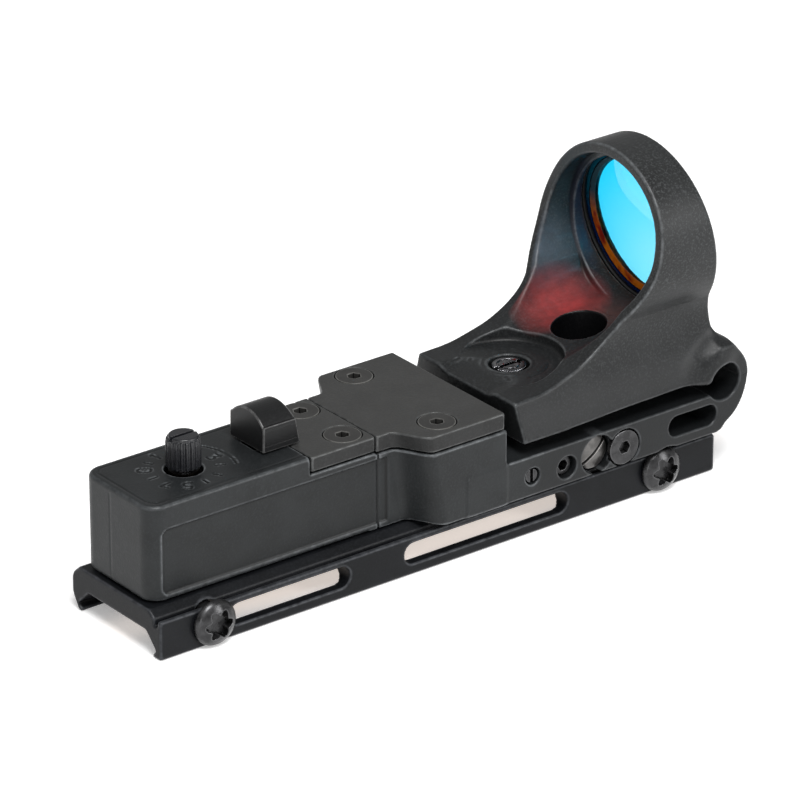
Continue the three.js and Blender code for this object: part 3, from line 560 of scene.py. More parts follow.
def blasted(name, tone, edge, rough=0.42, grain=0.32, depth=0.034, gloss=0.25, speckle=1.6):
    """Bead-blasted and anodised aluminium, with edges a little rubbed and given a painted highlight, and
    painted shade in its grooves.
    """
    k = Look(name)
    fine = k.noise(grain, 2.0, 0.6)
    cloud = k.noise(7.0, 4.0)
    # Edges lighter: rubbed, and a painted highlight.
    rubbed_edge_highlight = k.math("MULTIPLY", k.bend(0.7, 2.8), k.span(k.noise(1.3, 4.0), 0.25, 0.75, 0.25, 0.9))
    spread = k.mix(k.span(cloud, 0.3, 0.7), times(tone, 0.75), times(tone, 1.2))
    speck = k.mix(k.span(fine, 0.45, 0.75), spread, times(tone, speckle))
    # Painted shade: grooves and creases darker.
    crease_shade = k.mix(k.bend(-0.5, -2.4), speck, times(tone, 0.25))
    k.body_color = k.mix(rubbed_edge_highlight, crease_shade, edge)
    k.set("Base Color", k.body_color)
    k.set("Roughness", k.math("SUBTRACT", k.span(fine, 0.2, 0.8, rough - 0.07, rough + 0.09),
                              k.math("MULTIPLY", rubbed_edge_highlight, 0.12)))
    k.set("Specular IOR Level", gloss)
    k.bumps((fine, 0.6, depth), (k.noise(grain * 3, 2.0), 0.25, depth))
    return k


def turned_metal(name, tone, rough=0.27, metallic=0.9):
    """Machined screw metal, cloudy and finely pitted, with painted shade in its recesses and brighter edges,
    rubbed and given a painted highlight.
    """
    k = Look(name)
    fine = k.noise(0.12, 3.0, 0.7)
    cloud = k.noise(1.6, 4.0)
    base = k.mix(k.span(cloud, 0.3, 0.7), times(tone, 0.55), tone)
    # Painted shade: recesses such as the driver socket darker.
    base = k.mix(k.bend(-0.4, -2.2), base, times(tone, 0.15))
    # Edges brighter: rubbed, and a painted highlight.
    rubbed_edge_highlight = k.math("MULTIPLY", k.bend(1.0, 4.0), 0.4)
    k.set("Base Color", k.mix(rubbed_edge_highlight, base, tuple(min(1.0, c * 2.2) for c in tone)))
    k.set("Metallic", metallic)
    k.set("Roughness", k.span(cloud, 0.2, 0.8, rough - 0.08, rough + 0.14))
    k.bumps((fine, 0.35, 0.01))
    return k


def moulded(name, tone, rough=0.55):
    """Moulded plastic or rubber."""
    k = Look(name)
    cloud = k.noise(2.5, 3.0)
    k.set("Base Color", k.mix(cloud, times(tone, 0.7), times(tone, 1.35)))
    k.set("Roughness", k.span(k.noise(0.3, 3.0), 0.2, 0.8, rough - 0.1, rough + 0.1))
    k.bumps((k.noise(0.2, 3.0), 0.3, 0.008))
    return k


def cover_look():
    """Cover black, painted paler on the flat top as if lit from above."""
    k = blasted("cover_black", (0.0125, 0.0128, 0.0128), (0.085, 0.087, 0.087), grain=0.4)
    # Painted light: faces that point up are made paler, patchily.
    up = k.parts(k.node("ShaderNodeNewGeometry").outputs["Normal"])["Z"]
    top = k.math("MULTIPLY", k.span(up, 0.6, 0.95), k.span(k.noise(5.0, 4.0), 0.2, 0.8, 0.7, 1.0))
    k.set("Base Color", k.mix(top, k.body_color, (0.034, 0.034, 0.033)))
    return k


def housing_look():
    """Housing black, with painted shade darkening the arm in front, under the head."""
    k = blasted("housing_black", (0.0098, 0.0110, 0.0117), (0.105, 0.112, 0.118), grain=0.4)
    # Painted shade: the arm under the head is made darker.
    arm = k.span(k.reach((112.0, 0.0, 12.0), (46.0, 40.0, 12.0)), 0.85, 1.0, 0.6, 0.0)
    k.set("Base Color", k.mix(arm, k.body_color, (0.0035, 0.004, 0.0045)))
    return k


def coated_glass():
    """Glass that passes cyan and throws back orange and red, with a painted reflection in a band round its
    edge.
    """
    k = Look("lens_coated")
    lower = k.span(k.reach((111.0, -11.0, 32.0), (30.0, 30.0, 30.0)), 0.15, 1.0, 1.0, 0.0)
    clear = k.mix(lower, (0.006, 0.56, 0.86), (0.20, 0.70, 0.92))

    def away(y, z):
        """Millimetres from the line along x through y, z."""
        return k.math("MULTIPLY", k.reach((LENS_AT[0], y, z), (1000.0, 10.0, 10.0)), 10.0)

    # Painted reflection: bands of navy, teal, orange and red round the lens's edge, wider on the far, low
    # side.
    radius = away(0.0, LENS_AT[1])
    low = k.span(k.height(), 39.0, 46.0, 1.0, 0.0)
    patch = k.span(k.noise(3.0, 2.0), 0.35, 0.6)
    outer = k.mix(low, (0.004, 0.085, 0.14), (0.006, 0.02, 0.10))
    inner = k.mix(low, (0.03, 0.07, 0.09), k.mix(patch, (0.30, 0.02, 0.01), (0.75, 0.20, 0.01)))
    rim = k.mix(k.span(radius, 12.40, 12.50), inner, (0.002, 0.002, 0.003))
    rim = k.mix(k.span(radius, 12.62, 12.72), rim, outer)
    reflection_band = k.span(away(-0.9, LENS_AT[1] + 0.8), 11.55, 11.7)
    k.set("Base Color", k.mix(reflection_band, clear, rim))
    k.set("Transmission Weight", k.math("SUBTRACT", 1.0, k.math("MULTIPLY", reflection_band, 0.85)))
    k.set("Roughness", 0.0)
    k.set("IOR", 1.5)
    k.set("Specular Tint", (1.0, 0.34, 0.12))
    k.set("Specular IOR Level", 1.0)
    return k


def bright_screw_look():
    """Bright-edged screw with painted red glints, reflections of the lens's light."""
    k = turned_metal("elevation_black", (0.13, 0.13, 0.137), 0.2, 1.0)
    base = k.mix(k.span(k.noise(1.3, 2.0), 0.35, 0.65), (0.07, 0.07, 0.075), (0.23, 0.23, 0.24))
    # Painted reflection: red glints of the lens's light.
    k.set("Base Color", k.mix(k.span(k.noise(1.0, 1.0), 0.64, 0.72), base, (0.38, 0.02, 0.02)))
    return k


# The light that the lens throws back into the head: middle, radii, colour and greatest share.
GLOWS = (
    ((101.0, 8.5, 49.0), (9.0, 6.0, 12.0), (0.003, 0.013, 0.019), 0.85),   # teal, high on the far wall
    ((105.8, 10.0, 43.0), (2.4, 6.0, 13.0), (0.004, 0.012, 0.045), 1.0),   # navy, next to the lens
    ((97.5, 11.0, 38.0), (8.5, 5.5, 8.5), (0.080, 0.095, 0.116), 1.0),     # blue-grey, middle of the wall
    ((101.5, -1.0, 29.0), (6.0, 9.0, 4.0), (0.075, 0.036, 0.032), 0.8),    # brown, on the ramp
    ((96.8, 6.6, 29.4), (10.0, 7.5, 7.4), (0.310, 0.040, 0.040), 1.0),     # red, low on the wall
)


def head_look():
    """The head's black, painted darker low down, with painted glows of the lens's light on its inner walls.
    """
    k = blasted("head_black", (0.0135, 0.0143, 0.0147), (0.115, 0.122, 0.127), grain=0.36, speckle=3.0)
    # Painted shade: darker towards the foot.
    low = k.span(k.height(), 20.0, 38.0, 0.6, 0.0)
    color = k.mix(low, k.body_color, (0.004, 0.0045, 0.005))
    patchy = k.span(k.noise(2.2, 4.0, 0.6), 0.25, 0.75, 0.55, 1.0)
    round_wall = k.span(k.reach((LENS_AT[0], 0.0, RING_Z), (1000.0, 1.0, 1.0)), 14.2, 15.0, 1.0, 0.0)
    here = k.parts(k.place)
    lean = k.math("MULTIPLY", k.math("SUBTRACT", here["Z"], 0.026), 0.25)
    lean = k.math("SUBTRACT", here["Y"], lean)
    low_wall = k.span(k.math("MULTIPLY", lean, 1000.0), 9.2, 9.7, 1.0, 0.0)
    wall = k.math("MAXIMUM", round_wall, low_wall)
    for at, radii, tone, most in GLOWS:
        share = k.span(k.reach(at, radii), 0.2, 1.0, most, 0.0, smooth=False)
        share = k.math("MULTIPLY", share, k.math("MULTIPLY", patchy, wall))
        color = k.mix(share, color, tone)
    # Painted shade inside the emitter's hole, and painted light on the paler bore ahead of the lens.
    emitter_hole_shade = k.span(k.reach((EMIT_HOLE[0], EMIT_HOLE[1], 22.0), (4.85, 4.85, 40.0)), 0.98, 1.02, 1.0, 0.0)
    color = k.mix(emitter_hole_shade, color, (0.002, 0.002, 0.0025))
    ahead = k.span(k.lens_depth(), 2.2, 2.6)
    within = k.span(k.reach((LENS_AT[0], 0.0, RING_Z), (1000.0, 14.0, 14.0)), 1.0, 1.03, 1.0, 0.0)
    color = k.mix(k.math("MULTIPLY", ahead, within), color, (0.040, 0.034, 0.031))
    k.set("Base Color", color)
    return k


HOUSING = housing_look()
COVER = cover_look()
HEAD = head_look()
GLASS = coated_glass()
BASE = blasted("base_black", (0.0045, 0.005, 0.006), (0.055, 0.058, 0.064), rough=0.4, grain=0.35,
               depth=0.008, gloss=0.14)
LATCH = blasted("latch_black", (0.0055, 0.0057, 0.006), (0.10, 0.10, 0.10), rough=0.34, grain=0.3,
                depth=0.006)
KNOB_BLACK = moulded("knob_black", (0.0075, 0.008, 0.010), 0.34)
COVER_SCREW = blasted("cover_screw_black", (0.024, 0.0235, 0.0225), (0.12, 0.118, 0.112), grain=0.2,
                      depth=0.005)
SCREW = turned_metal("screw_black", (0.062, 0.062, 0.064))
WORN_SCREW = turned_metal("windage_black", (0.16, 0.155, 0.15), 0.38)
BRIGHT_SCREW = bright_screw_look()
DARK_BRASS = turned_metal("dark_brass", (0.010, 0.008, 0.006), 0.5, 1.0)
CAD_LOOKS = {
    "steel": turned_metal("steel", (0.55, 0.55, 0.57), 0.25, 1.0),
    "brass": turned_metal("brass", (0.62, 0.46, 0.2), 0.3, 1.0),
    "black_plastic": moulded("black_plastic", (0.014, 0.015, 0.017)),
    "rubber": moulded("rubber", (0.012, 0.012, 0.012), 0.8),
    "board_green": moulded("board_green", (0.02, 0.12, 0.05), 0.4),
    "wire_red": moulded("wire_red", (0.35, 0.015, 0.015), 0.4),
    "wire_black": moulded("wire_black", (0.015, 0.015, 0.015), 0.4),
    "led_red": moulded("led_red", (0.7, 0.03, 0.02), 0.2).set("Transmission Weight", 0.4),
}


# ---------- rail base
def build_base():
    grid = Grid(BASE_LO, BASE_HI, 0.32)
    x, y, z = grid.axes()
    top, length, jaw = BASE_HI[2], BASE_HI[0], BASE_HI[1]
    half_top, half_wide = 7.985, 10.75
    flank = RAIL_SEAT_Z - (half_wide - half_top)
    section = rounded([
        (-9.7, top, 0.3), (-11.1, 6.9, 0.5), (-11.3, 5.7, 0.25), (-11.95, 5.7, 0.25), (-12.1, 6.8, 0.15),
        (WALL_Y, 6.8, 0.3), (WALL_Y, 0.0, 0.5), (RAIL_Y - half_wide + 1.0, 0.0, 0.3),
        (RAIL_Y - half_wide + 1.0, 0.3, 0.15), (RAIL_Y - half_wide, flank, 0.35),
        (RAIL_Y - half_top, RAIL_SEAT_Z, 0.3), (RAIL_Y + half_top, RAIL_SEAT_Z, 0.3),
        (RAIL_Y + half_wide, flank, 0.35), (RAIL_Y + half_wide - 1.0, 0.3, 0.15),
        (RAIL_Y + half_wide - 1.0, 0.0, 0.3), (jaw - 1.6, 0.0, 1.2), (jaw, 2.6, 2.5), (jaw, 6.2, 2.0),
        (jaw - 2.0, top, 0.5)])
    d = both(outline(y, z, section), slab(x, 0, length), 0.25)
    for x0, x1 in WINDOWS:
        mid, half = (x0 + x1) / 2, (x1 - x0) / 2 - WINDOW_R
        carve(grid, d, (x0 - 1, WALL_Y - 1, 0), (x1 + 1, -8, 7),
              lambda g: both(stroke(g.x, g.z, [(mid - half, WINDOW_Z), (mid + half, WINDOW_Z)], WINDOW_R),
                             slab(g.y, -20, -8.5)), 0.22)
    for cx in CLAMP_X:
        bore(grid, d, 1, (cx, CLAMP_Z), 2.8, -20, 9.9, 0.2)
    for name in BASE_BOLTS:
        stepped_hole(grid, d, middle(name)[:2], 3.05, SCREW_HOLE_R, 0, 6.5, 0.1)
    solid("base_rail_clamp_body", grid, d, "body", "base_black", BASE, ["base_rail_clamp"])


# ---------- housing and covers
def flare_half(x, z):
    """Half width of the plan outline at x; the shoulder leans forward below the top."""
    lean = 0.18 * (TOP_Z - z)
    t = np.clip((x - 47.6 - lean) / 5.6, 0, 1)
    return BODY_HALF + (WIDE_HALF - BODY_HALF) * t * t * t * (10 - 15 * t + 6 * t * t)


def flare_side(x, y, z):
    """Distance to the near and far sides of the body, narrow behind and wide in front."""
    h = 0.05
    half = flare_half(x, z)
    steep = (flare_half(x + h, z) - flare_half(x - h, z)) / (2 * h)
    return (np.abs(y) - half) / np.sqrt(1 + steep * steep)


def loop_outline():
    """The flexure loop in x, z: arm end, web, and the root under the ring, open at the slit."""
    front = spline([(113.2, 8.25), (114.3, 8.65), (115.2, 9.6), (116.9, 10.8), (118.3, 12.5), (119.3, 14.7),
                    (LOOP_FRONT, PIVOT[1]), (119.6, 19.6), (118.4, 21.7), (116.4, 23.7)], 5)
    return [(96.0, 8.25), *front, (113.8, 23.4), (110.0, 20.6), (105.0, 19.1), (98.0, 18.65), (112.6, 18.65),
            (112.6, ARM_TOP), (96.0, ARM_TOP)]


def loop_field(g, root_half=WIDE_HALF):
    """The loop, whose root under the head may start narrower than its web."""
    d = both(outline(g.x, g.z, loop_outline()), -disc(g.x, g.z, PIVOT, FLEX_HOLE_R))
    t = np.clip((g.x - 103.0) / 11.0, 0, 1)
    half = root_half + (WIDE_HALF - root_half) * t * t * (3 - 2 * t)
    return both(d, np.abs(g.y) - half, 0.3)


# The stroke of each digit, 1 wide and 1.6 high.
DIGITS = {
    "0": [(0.2, 0), (0.8, 0), (1, 0.3), (1, 1.3), (0.8, 1.6), (0.2, 1.6), (0, 1.3), (0, 0.3), (0.2, 0)],
    "1": [(0.2, 1.3), (0.55, 1.6), (0.55, 0)],
    "3": [(0, 1.6), (1, 1.6), (0.45, 0.95), (1, 0.6), (0.9, 0.15), (0.5, 0), (0, 0.15)],
    "5": [(1, 1.6), (0.1, 1.6), (0, 0.9), (0.7, 0.95), (1, 0.6), (0.8, 0.1), (0, 0)],
    "7": [(0, 1.6), (1, 1.6), (0.4, 0)],
}


def dial_marks():
    """Engraved strokes of the brightness dial, each a list of points in x, y round the knob."""
    marks = []
    reach, size = 6.3, 1.35
    for degrees, text in ((150, "0"), (210, "7"), (240, "5"), (5, "3"), (100, "1")):
        a = math.radians(degrees)
        out = np.array((math.cos(a), math.sin(a)))
        side = np.array((math.sin(a), -math.cos(a)))
        marks.append([KNOB + out * (reach + size * (v - 0.8)) + side * size * (u - 0.5)
                      for u, v in DIGITS[text]])
    for degrees in (60, 125, 180, 270, 300, 335):
        a = math.radians(degrees)
        marks.append([(KNOB[0] + r * math.cos(a), KNOB[1] + r * math.sin(a)) for r in (5.2, 6.7)])
    marks.append(arc(KNOB, 8.6, math.radians(-25), math.radians(75), 14))
    return marks


def groove(grid, d, line, r, depth, top):
    """Engraves a line of x, y points into the face z = top."""
    p = np.array(line)
    lo = (*(p.min(0) - 0.6), top - 1)
    hi = (*(p.max(0) + 0.6), top + 1)
    carve(grid, d, lo, hi, lambda g: both(stroke(g.x, g.y, line, r), slab(g.z, top - depth, top + 2)), 0.06)


def cut_side_lines(grid, d):
    """The sunk side panels and the parting lines of the casting."""
    for side in (-1, 1):
        face = side * BODY_HALF
        carve(grid, d, (2, face - 1, 8), (47, face + 1, 22), lambda g: both(
            rect(g.x, g.z, 3.3, 52, 9.3, 20.7, 1.2), slab(g.y, face - 0.28, face + 0.28)), 0.12)
        carve(grid, d, (45, face - 1.5, 8), (48, face + 1.5, 22), lambda g: both(
            slab(g.x, 46.05, 46.3), slab(g.y, face - 0.5, face + 0.5)) + 0 * g.z, 0.05)
    carve(grid, d, (0, 1, 8), (2, 2.4, 23), lambda g: both(
        slab(g.y, 1.58, 1.8), slab(g.x, 0, HOUSING_LO[0] + 0.14)) + 0 * g.z, 0.04)


def engrave_housing_top(grid, d):
    """The line inside the top's edge, and the dial's marks."""
    rim = spline([(SEAM_REAR, -7.9), (20, -7.95), (5, -7.95), (3.0, -7.3), (2.35, -5.6), (2.3, 0.4),
                  (2.35, 6.2), (3.0, 7.5), (5, 8.1), (20, 8.1), (SEAM_REAR, 8.05)], 5)
    groove(grid, d, rim, 0.15, 0.12, TOP_Z)
    for line in dial_marks():
        groove(grid, d, line, 0.19, 0.24, TOP_Z)


def cut_bays(grid, d):
    """The knob's hole over the rheostat bay, the latch's slot, the cell well and the way of the wires."""
    carve(grid, d, (8, -8, 7), (25, 8, 26), lambda g: either(
        both(rect(g.x, g.y, *BAY, 1.5), slab(g.z, 0, 22.8)),
        both(disc(g.x, g.y, KNOB, KNOB_HOLE_R), slab(g.z, 20, 30))), 0.15)
    carve(grid, d, (3, -8, 7), (9, 8, 24), lambda g: both(
        rect(g.x, g.y, *BAY, 1.5), slab(g.z, 0, 22.8)), 0.1)
    carve(grid, d, (26, -3, 19), (34, 5, 26), lambda g: either(
        both(rect(g.x, g.y, 27.2, 40, TOP_CY - 2.1, TOP_CY + 2.1), slab(g.z, 21, 40)),
        both(rect(g.x, g.y, 26.9, 32.5, TOP_CY - 3.9, TOP_CY + 3.9), slab(g.z, 19.8, 22))), 0.0)
    bore(grid, d, 2, CELL, CELL_WELL_R, 9.75, 40)
    pocket(grid, d, (51.2, 65.4, -8.6, 8.6), 1.2, 11.2, 40)
    for x0, x1, wire_y in ((22, 53, 6.0), (40, 53, -1.2), (64, 84, 3.0)):
        bore(grid, d, 0, (wire_y, 12.4), 0.95, x0, x1, 0.0)


def cut_arm(grid, d):
    """The emitter carriage's pocket, and every hole and slot in the arm."""
    pocket(grid, d, (83.6, 91.4, -8.5, 8.5), 0.6, 9.65, 30)
    bore(grid, d, 2, ELEV, 2.6, 9.3, 30, 0.15)
    for at, r, deep in ((WIND, 3.4, WIND_SEAT), (WIND, 2.05, 9), (WIND_LOCK, 3.3, 1.1),
                        (WIND_LOCK, 1.8, 6.2), (ELEV_LOCK, 2.0, 14), (GUIDE_SET, 1.5, 5)):
        bore(grid, d, 1, at, r, -30, NEAR + deep, 0.14)
    sx, sz, half, r = ARM_SLOT
    carve(grid, d, (sx - 6, -16, sz - 3), (sx + 6, 16, sz + 3),
          lambda g: stroke(g.x, g.z, [(sx - half, sz), (sx + half, sz)], r) + 0 * g.y, 0.25)
    bore(grid, d, 1, PIVOT, FLEX_HOLE_R, -30, 30, 0.25)
    bore(grid, d, 1, (CLAMP_X[1], CLAMP_Z), 4.55, -20, -12.3, 0.2)


def build_housing():
    grid = Grid(HOUSING_LO, (LOOP_FRONT, WIDE_HALF, TOP_Z), LOOP_STEP)
    x, y, z = grid.axes()
    bottom = HOUSING_LO[2]
    rear = both(rect(x, y, HOUSING_LO[0], 62, -BODY_HALF, BODY_HALF, 3.0), slab(z, bottom, TOP_Z), 0.65)
    wide = both(flare_side(x, y, z), slab(x, 44, 68.2), 0.35)
    wide = both(wide, slab(z, bottom, FRONT_LO[2] - COVER_GAP), 0.3)
    arm = both(both(slab(y, -WIDE_HALF, WIDE_HALF), slab(z, bottom, ARM_TOP), 0.3), slab(x, 60, 108), 0.1)
    d = either(both(rear, slab(x, -1, 46.4)), wide)
    d = either(d, arm, 0.5)
    carve(grid, d, (95, -16, 7), (120.5, 16, 25), loop_field, 0.0, add=True)
    for seam, under in ((SEAM_REAR, BATTERY_LO[2]), (SEAM_MID, FRONT_LO[2])):
        pocket(grid, d, (seam, 80, -20, 20), 0.0, under - COVER_GAP, 40, 0.12)
    cut_side_lines(grid, d)
    engrave_housing_top(grid, d)
    cut_bays(grid, d)
    cut_arm(grid, d)
    for name in COVER_SCREWS:
        bore(grid, d, 2, middle(name)[:2], SCREW_HOLE_R, 17.6, 40)
    for name in BASE_BOLTS:
        bore(grid, d, 2, middle(name)[:2], SCREW_HOLE_R, 0, 11.1)
    solid("housing_body", grid, d, "body", "housing_black", HOUSING, ["housing"],
          keep=lambda c: (c[:, 0] < 100) | (c[:, 2] < PIVOT[1]))


def countersinks(grid, d, names):
    """The holes of a cover's screws."""
    for name in names:
        stepped_hole(grid, d, middle(name)[:2], SCREW_RING, SCREW_HOLE_R, TOP_Z - 1.0, 40, 0.09)


def build_battery_cover():
    grid = Grid(BATTERY_LO, BATTERY_HI, 0.17)
    x, y, z = grid.axes()
    d = both(slab(x, BATTERY_LO[0], BATTERY_HI[0]), slab(z, BATTERY_LO[2], TOP_Z), 0.12)
    d = both(d, slab(y, -BODY_HALF, BODY_HALF), 0.4)
    countersinks(grid, d, COVER_SCREWS[:2])
    bore(grid, d, 2, CELL, CELL_WELL_R, 0, 22.95, 0.0)
    solid("battery_cover_plate", grid, d, "body", "cover_black", COVER, ["battery_cover"])


def build_front_cover():
    grid = Grid(FRONT_LO, FRONT_HI, 0.18)
    x, y, z = grid.axes()
    d = both(slab(x, FRONT_LO[0], FRONT_HI[0]), slab(z, FRONT_LO[2], TOP_Z), 0.2)
    d = both(d, flare_side(x, y, z), 0.4)
    countersinks(grid, d, COVER_SCREWS[2:])
    pocket(grid, d, (52.5, 64.5, -7.6, 7.6), 0.6, 0, 23.4, 0.0)
    solid("front_cover_plate", grid, d, "body", "cover_black", COVER, ["front_cover"])


def build_latch():
    lo, hi = node_box("battery_latch")
    grid = Grid(lo, hi, 0.12)
    x, y, z = grid.axes()
    half = 4.6
    top = [(TOP_CY - half, 25.3), (TOP_CY + half, 25.3), (TOP_CY + half, 29.9)] + arc(
        (TOP_CY, 26.05), 5.75, math.radians(40), math.radians(140), 20) + [(TOP_CY - half, 29.9)]
    side = rounded([(lo[0], 25.3), (lo[0] + 0.1, 33.5), (lo[0] + 5.9, 33.5), (hi[0], 25.3)])
    d = both(outline(y, z, top), outline(x, z, side), 0.28)
    stem = both(slab(x, 30.0, 32.1), both(slab(y, TOP_CY - 1.8, TOP_CY + 1.8), slab(z, 21.6, 26)))
    d = either(d, stem, 0.2)
    solid("battery_latch_slide", grid, d, "latch", "housing_black", LATCH, ["battery_latch"])


# ---------- head
def lens_axis(x, y, z):
    """Distance along the lens's tilted axis, and away from it."""
    c, s = math.cos(LENS_TILT), math.sin(LENS_TILT)
    along = (x - LENS_AT[0]) * c + (z - LENS_AT[1]) * s
    up = (z - LENS_AT[1]) * c - (x - LENS_AT[0]) * s
    return along, np.hypot(y, up)


def head_front_outline():
    """The head in y, z: foot and side walls, and the ring on top of them."""
    right = spline([(15.15, 14.0), (15.1, 17.8), (14.75, 19.2), (13.95, 21.4), (13.3, 23.2), (12.75, 25.0),
                    (12.35, 27.0), (12.15, 29.0), (12.25, 30.9), (12.75, 32.8)], 4)
    ring = arc((0, RING_Z), RING_R, -0.58, math.pi + 0.58, 60)
    left = [(-u, v) for u, v in reversed(right)]
    return [*right, *ring, *left]


def head_side_outline():
    """The head in x, z: the hood's rear edge, the ring's leaning front and the foot."""
    hood = spline([(76.0, 24.72), (78.6, 25.05), (81.5, 25.8), (85.4, 27.0), (89.1, 29.0), (91.8, 31.0),
                   (93.8, 33.0), (96.6, 37.0), (98.7, 41.0), (99.8, 45.0), (100.6, 49.0), (101.1, 54.0),
                   (101.3, 60.0)], 4)
    slope = math.tan(LENS_TILT)
    front = [(RING_FRONT_X - slope * (60 - RING_Z), 60.0), (RING_FRONT_X + slope * (RING_Z - 26.5), 26.5)]
    foot = [(114.9, 23.0), (113.6, 20.8), (112.0, 18.65), (94.0, 18.4), (80.0, HEAD_LO[2] + 0.35),
            (71.9, HEAD_LO[2] + 0.35)]
    return [(71.4, DECK_Z - 0.3), (71.7, DECK_Z)] + hood + front + foot


def above_ramp(g):
    """The space over the ramp, deck side low and lens side high."""
    t = math.tan(math.radians(9.0))
    line = 26.5 + (g.x - 89.0) * t
    return (line - g.z) * math.cos(math.atan(t))


def cut_throat(grid, d):
    """The space between the side walls: round behind the lens, flat over the ramp."""
    wall = spline([(9.1, 20.0), (9.15, 24.5), (9.65, 28.4), (10.5, 31.6), (11.3, 34.4)], 5)
    far_wall = [(-u, v) for u, v in reversed(wall)]
    throat = [*wall, *arc((0, RING_Z), BORE_R, -0.6, math.pi + 0.6, 50), *far_wall]

    def space(g):
        return both(both(outline(g.y, g.z, throat), above_ramp(g), 4.6), slab(g.x, 60, 104.6), 0.4)

    carve(grid, d, (70, -15, 23), (106, 15, 57), space, 0.5)


def cut_lens_bore(grid, d):
    """The bore behind the lens, its seat, the mouth ahead of it and two grooves in the mouth."""
    along, away = lens_axis(*grid.axes())
    for r, start, end, soft in ((13.1, -9, 12, 0.12), (14.25, -1.4, 3.0, 0.1), (13.35, 2.5, 12, 0.3),
                                (13.6, 3.5, 3.9, 0.05), (13.6, 4.3, 4.7, 0.05)):
        d = less(d, both(away - r, slab(along, start, end)), soft)
    return d


def cut_deck(grid, d):
    """The dish and hole of the elevation screw, and the marks round it."""
    carve(grid, d, (70, -11, 23), (92, 12, 31), lambda g: both(
        disc(g.x, g.y, (ELEV[0] - 0.3, ELEV[1] - 0.3), DISH_R), slab(g.z, DECK_Z, 50), 0.7), 0.12)
    stepped_hole(grid, d, ELEV, 3.45, 2.3, DECK_Z - 2.3, 40, 0.1)
    groove(grid, d, arc(ELEV, 4.4, 0, 2 * math.pi, 40), 0.12, 0.1, DECK_Z)
    for line in deck_marks():
        groove(grid, d, line, 0.17, 0.16, DECK_Z)


def cut_beam_way(grid, d):
    """The slanted way of the emitter's beam, from the arm up to the emitter's hole."""
    beam = np.array([10.1, 0.0, 12.1])
    beam /= np.linalg.norm(beam)

    def way(g):
        across = (g.x - 86.2) * beam[2] - (g.z - 15.6) * beam[0]
        return both(np.hypot(across, g.y - TOP_CY) - 2.4, slab(g.z, 0, 23.4))

    carve(grid, d, (82, -4, 16), (96.3, 5, 25.5), way, 0.1)


def build_head():
    grid = Grid((70.5, -16, PIVOT[1] - 0.6), (LOOP_FRONT + 0.5, 16, HEAD_HI[2]), LOOP_STEP)
    x, y, z = grid.axes()
    d = both(outline(y, z, head_front_outline()), outline(x, z, head_side_outline()), 0.45)
    carve(grid, d, (95, -16, PIVOT[1] - 2), (120.5, 16, 33), lambda g: loop_field(g, 10.2), 4.0, add=True)
    cut_throat(grid, d)
    d = cut_lens_bore(grid, d)
    cut_deck(grid, d)
    bore(grid, d, 2, EMIT_HOLE[:2], EMIT_HOLE[2], 0, 36, 0.14)
    cut_beam_way(grid, d)
    bore(grid, d, 1, PIVOT, FLEX_HOLE_R, -30, 30, 0.25)
    head = solid("head_body", grid, d, None, "housing_black", HEAD, ["head"],
                 keep=lambda c: c[:, 2] > PIVOT[1])
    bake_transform(head)


def deck_marks():
    """Engraved curved arrow, hook and arc on the deck round the elevation screw."""
    shaft = arc(ELEV, 6.6, math.radians(128), math.radians(232), 16)
    tip = shaft[-1]
    return [shaft, [(tip[0] - 0.9, tip[1] + 0.7), tip, (tip[0] + 0.3, tip[1] + 1.2)],
            [(75.0, 5.2), (73.4, 6.6), (75.4, 7.0)],
            arc(ELEV, 6.6, math.radians(262), math.radians(318), 12)]


# ---------- lens and its ring
def lathe(name, profile, sides, body, slot, look, nodes, close=True):
    """A turned piece on the lens's axis, from (distance along, radius) pairs."""
    b = bmesh.new()
    c, s = math.cos(LENS_TILT), math.sin(LENS_TILT)

    def corner(along, side, up):
        return b.verts.new(metres((LENS_AT[0] + along * c - up * s, side, LENS_AT[1] + along * s + up * c)))

    rings = []
    for along, radius in profile:
        turn = [2 * math.pi * k / sides for k in range(sides if radius else 1)]
        rings.append([corner(along, radius * math.cos(a), radius * math.sin(a)) for a in turn])
    pairs = list(zip(rings, rings[1:])) + ([(rings[-1], rings[0])] if close else [])
    for one, two in pairs:
        for k in range(sides):
            n = (k + 1) % sides
            face = [one[k % len(one)], one[n % len(one)], two[n % len(two)], two[k % len(two)]]
            b.faces.new(dict.fromkeys(face))
    bmesh.ops.recalc_face_normals(b, faces=b.faces)
    mesh = bpy.data.meshes.new(name)
    b.to_mesh(mesh)
    b.free()
    for f in mesh.polygons:
        f.use_smooth = True
    finish(place(name, mesh), body, slot, look, nodes)


def sag(radius, curve):
    """How far forward a spherical face of radius curve has come, at a radius from its middle."""
    return radius * radius / (2 * curve)


def build_lens():
    steps = (0, 2, 4, 6, 8, 10, 12, 13.2, 13.8)
    chamfer = 0.15
    rear = [(LENS_BACK + sag(q, BACK_CURVE), q) for q in steps]
    front = [(LENS_FACE + sag(q, FACE_CURVE), q) for q in reversed(steps)]
    edge = [(LENS_BACK + sag(LENS_R, BACK_CURVE) + chamfer, LENS_R),
            (LENS_FACE + sag(LENS_R, FACE_CURVE) - chamfer, LENS_R)]
    lathe("lens_glass", rear + edge + front, 128, "head", "lens_coated", GLASS, ["lens"], close=False)

    def ring(name, inner, outer, a0, a1, chamfer, slot, look, node):
        lathe(name, [(a0 + chamfer, inner), (a0, inner + chamfer), (a0, outer - chamfer / 2),
                     (a0 + chamfer / 2, outer), (a1 - chamfer / 2, outer), (a1, outer - chamfer / 2),
                     (a1, inner + chamfer), (a1 - chamfer, inner)], 128, "head", slot, look, [node])

    ring("lens_gasket_ring", 13.4, 13.95, -0.95, -0.55, 0.08, "rubber", CAD_LOOKS["rubber"], "lens_gasket")
    ring("lens_front_ring", 13.45, 14.0, 2.0, 2.9, 0.15, "black_plastic", CAD_LOOKS["black_plastic"],
         "lens_retaining_ring")


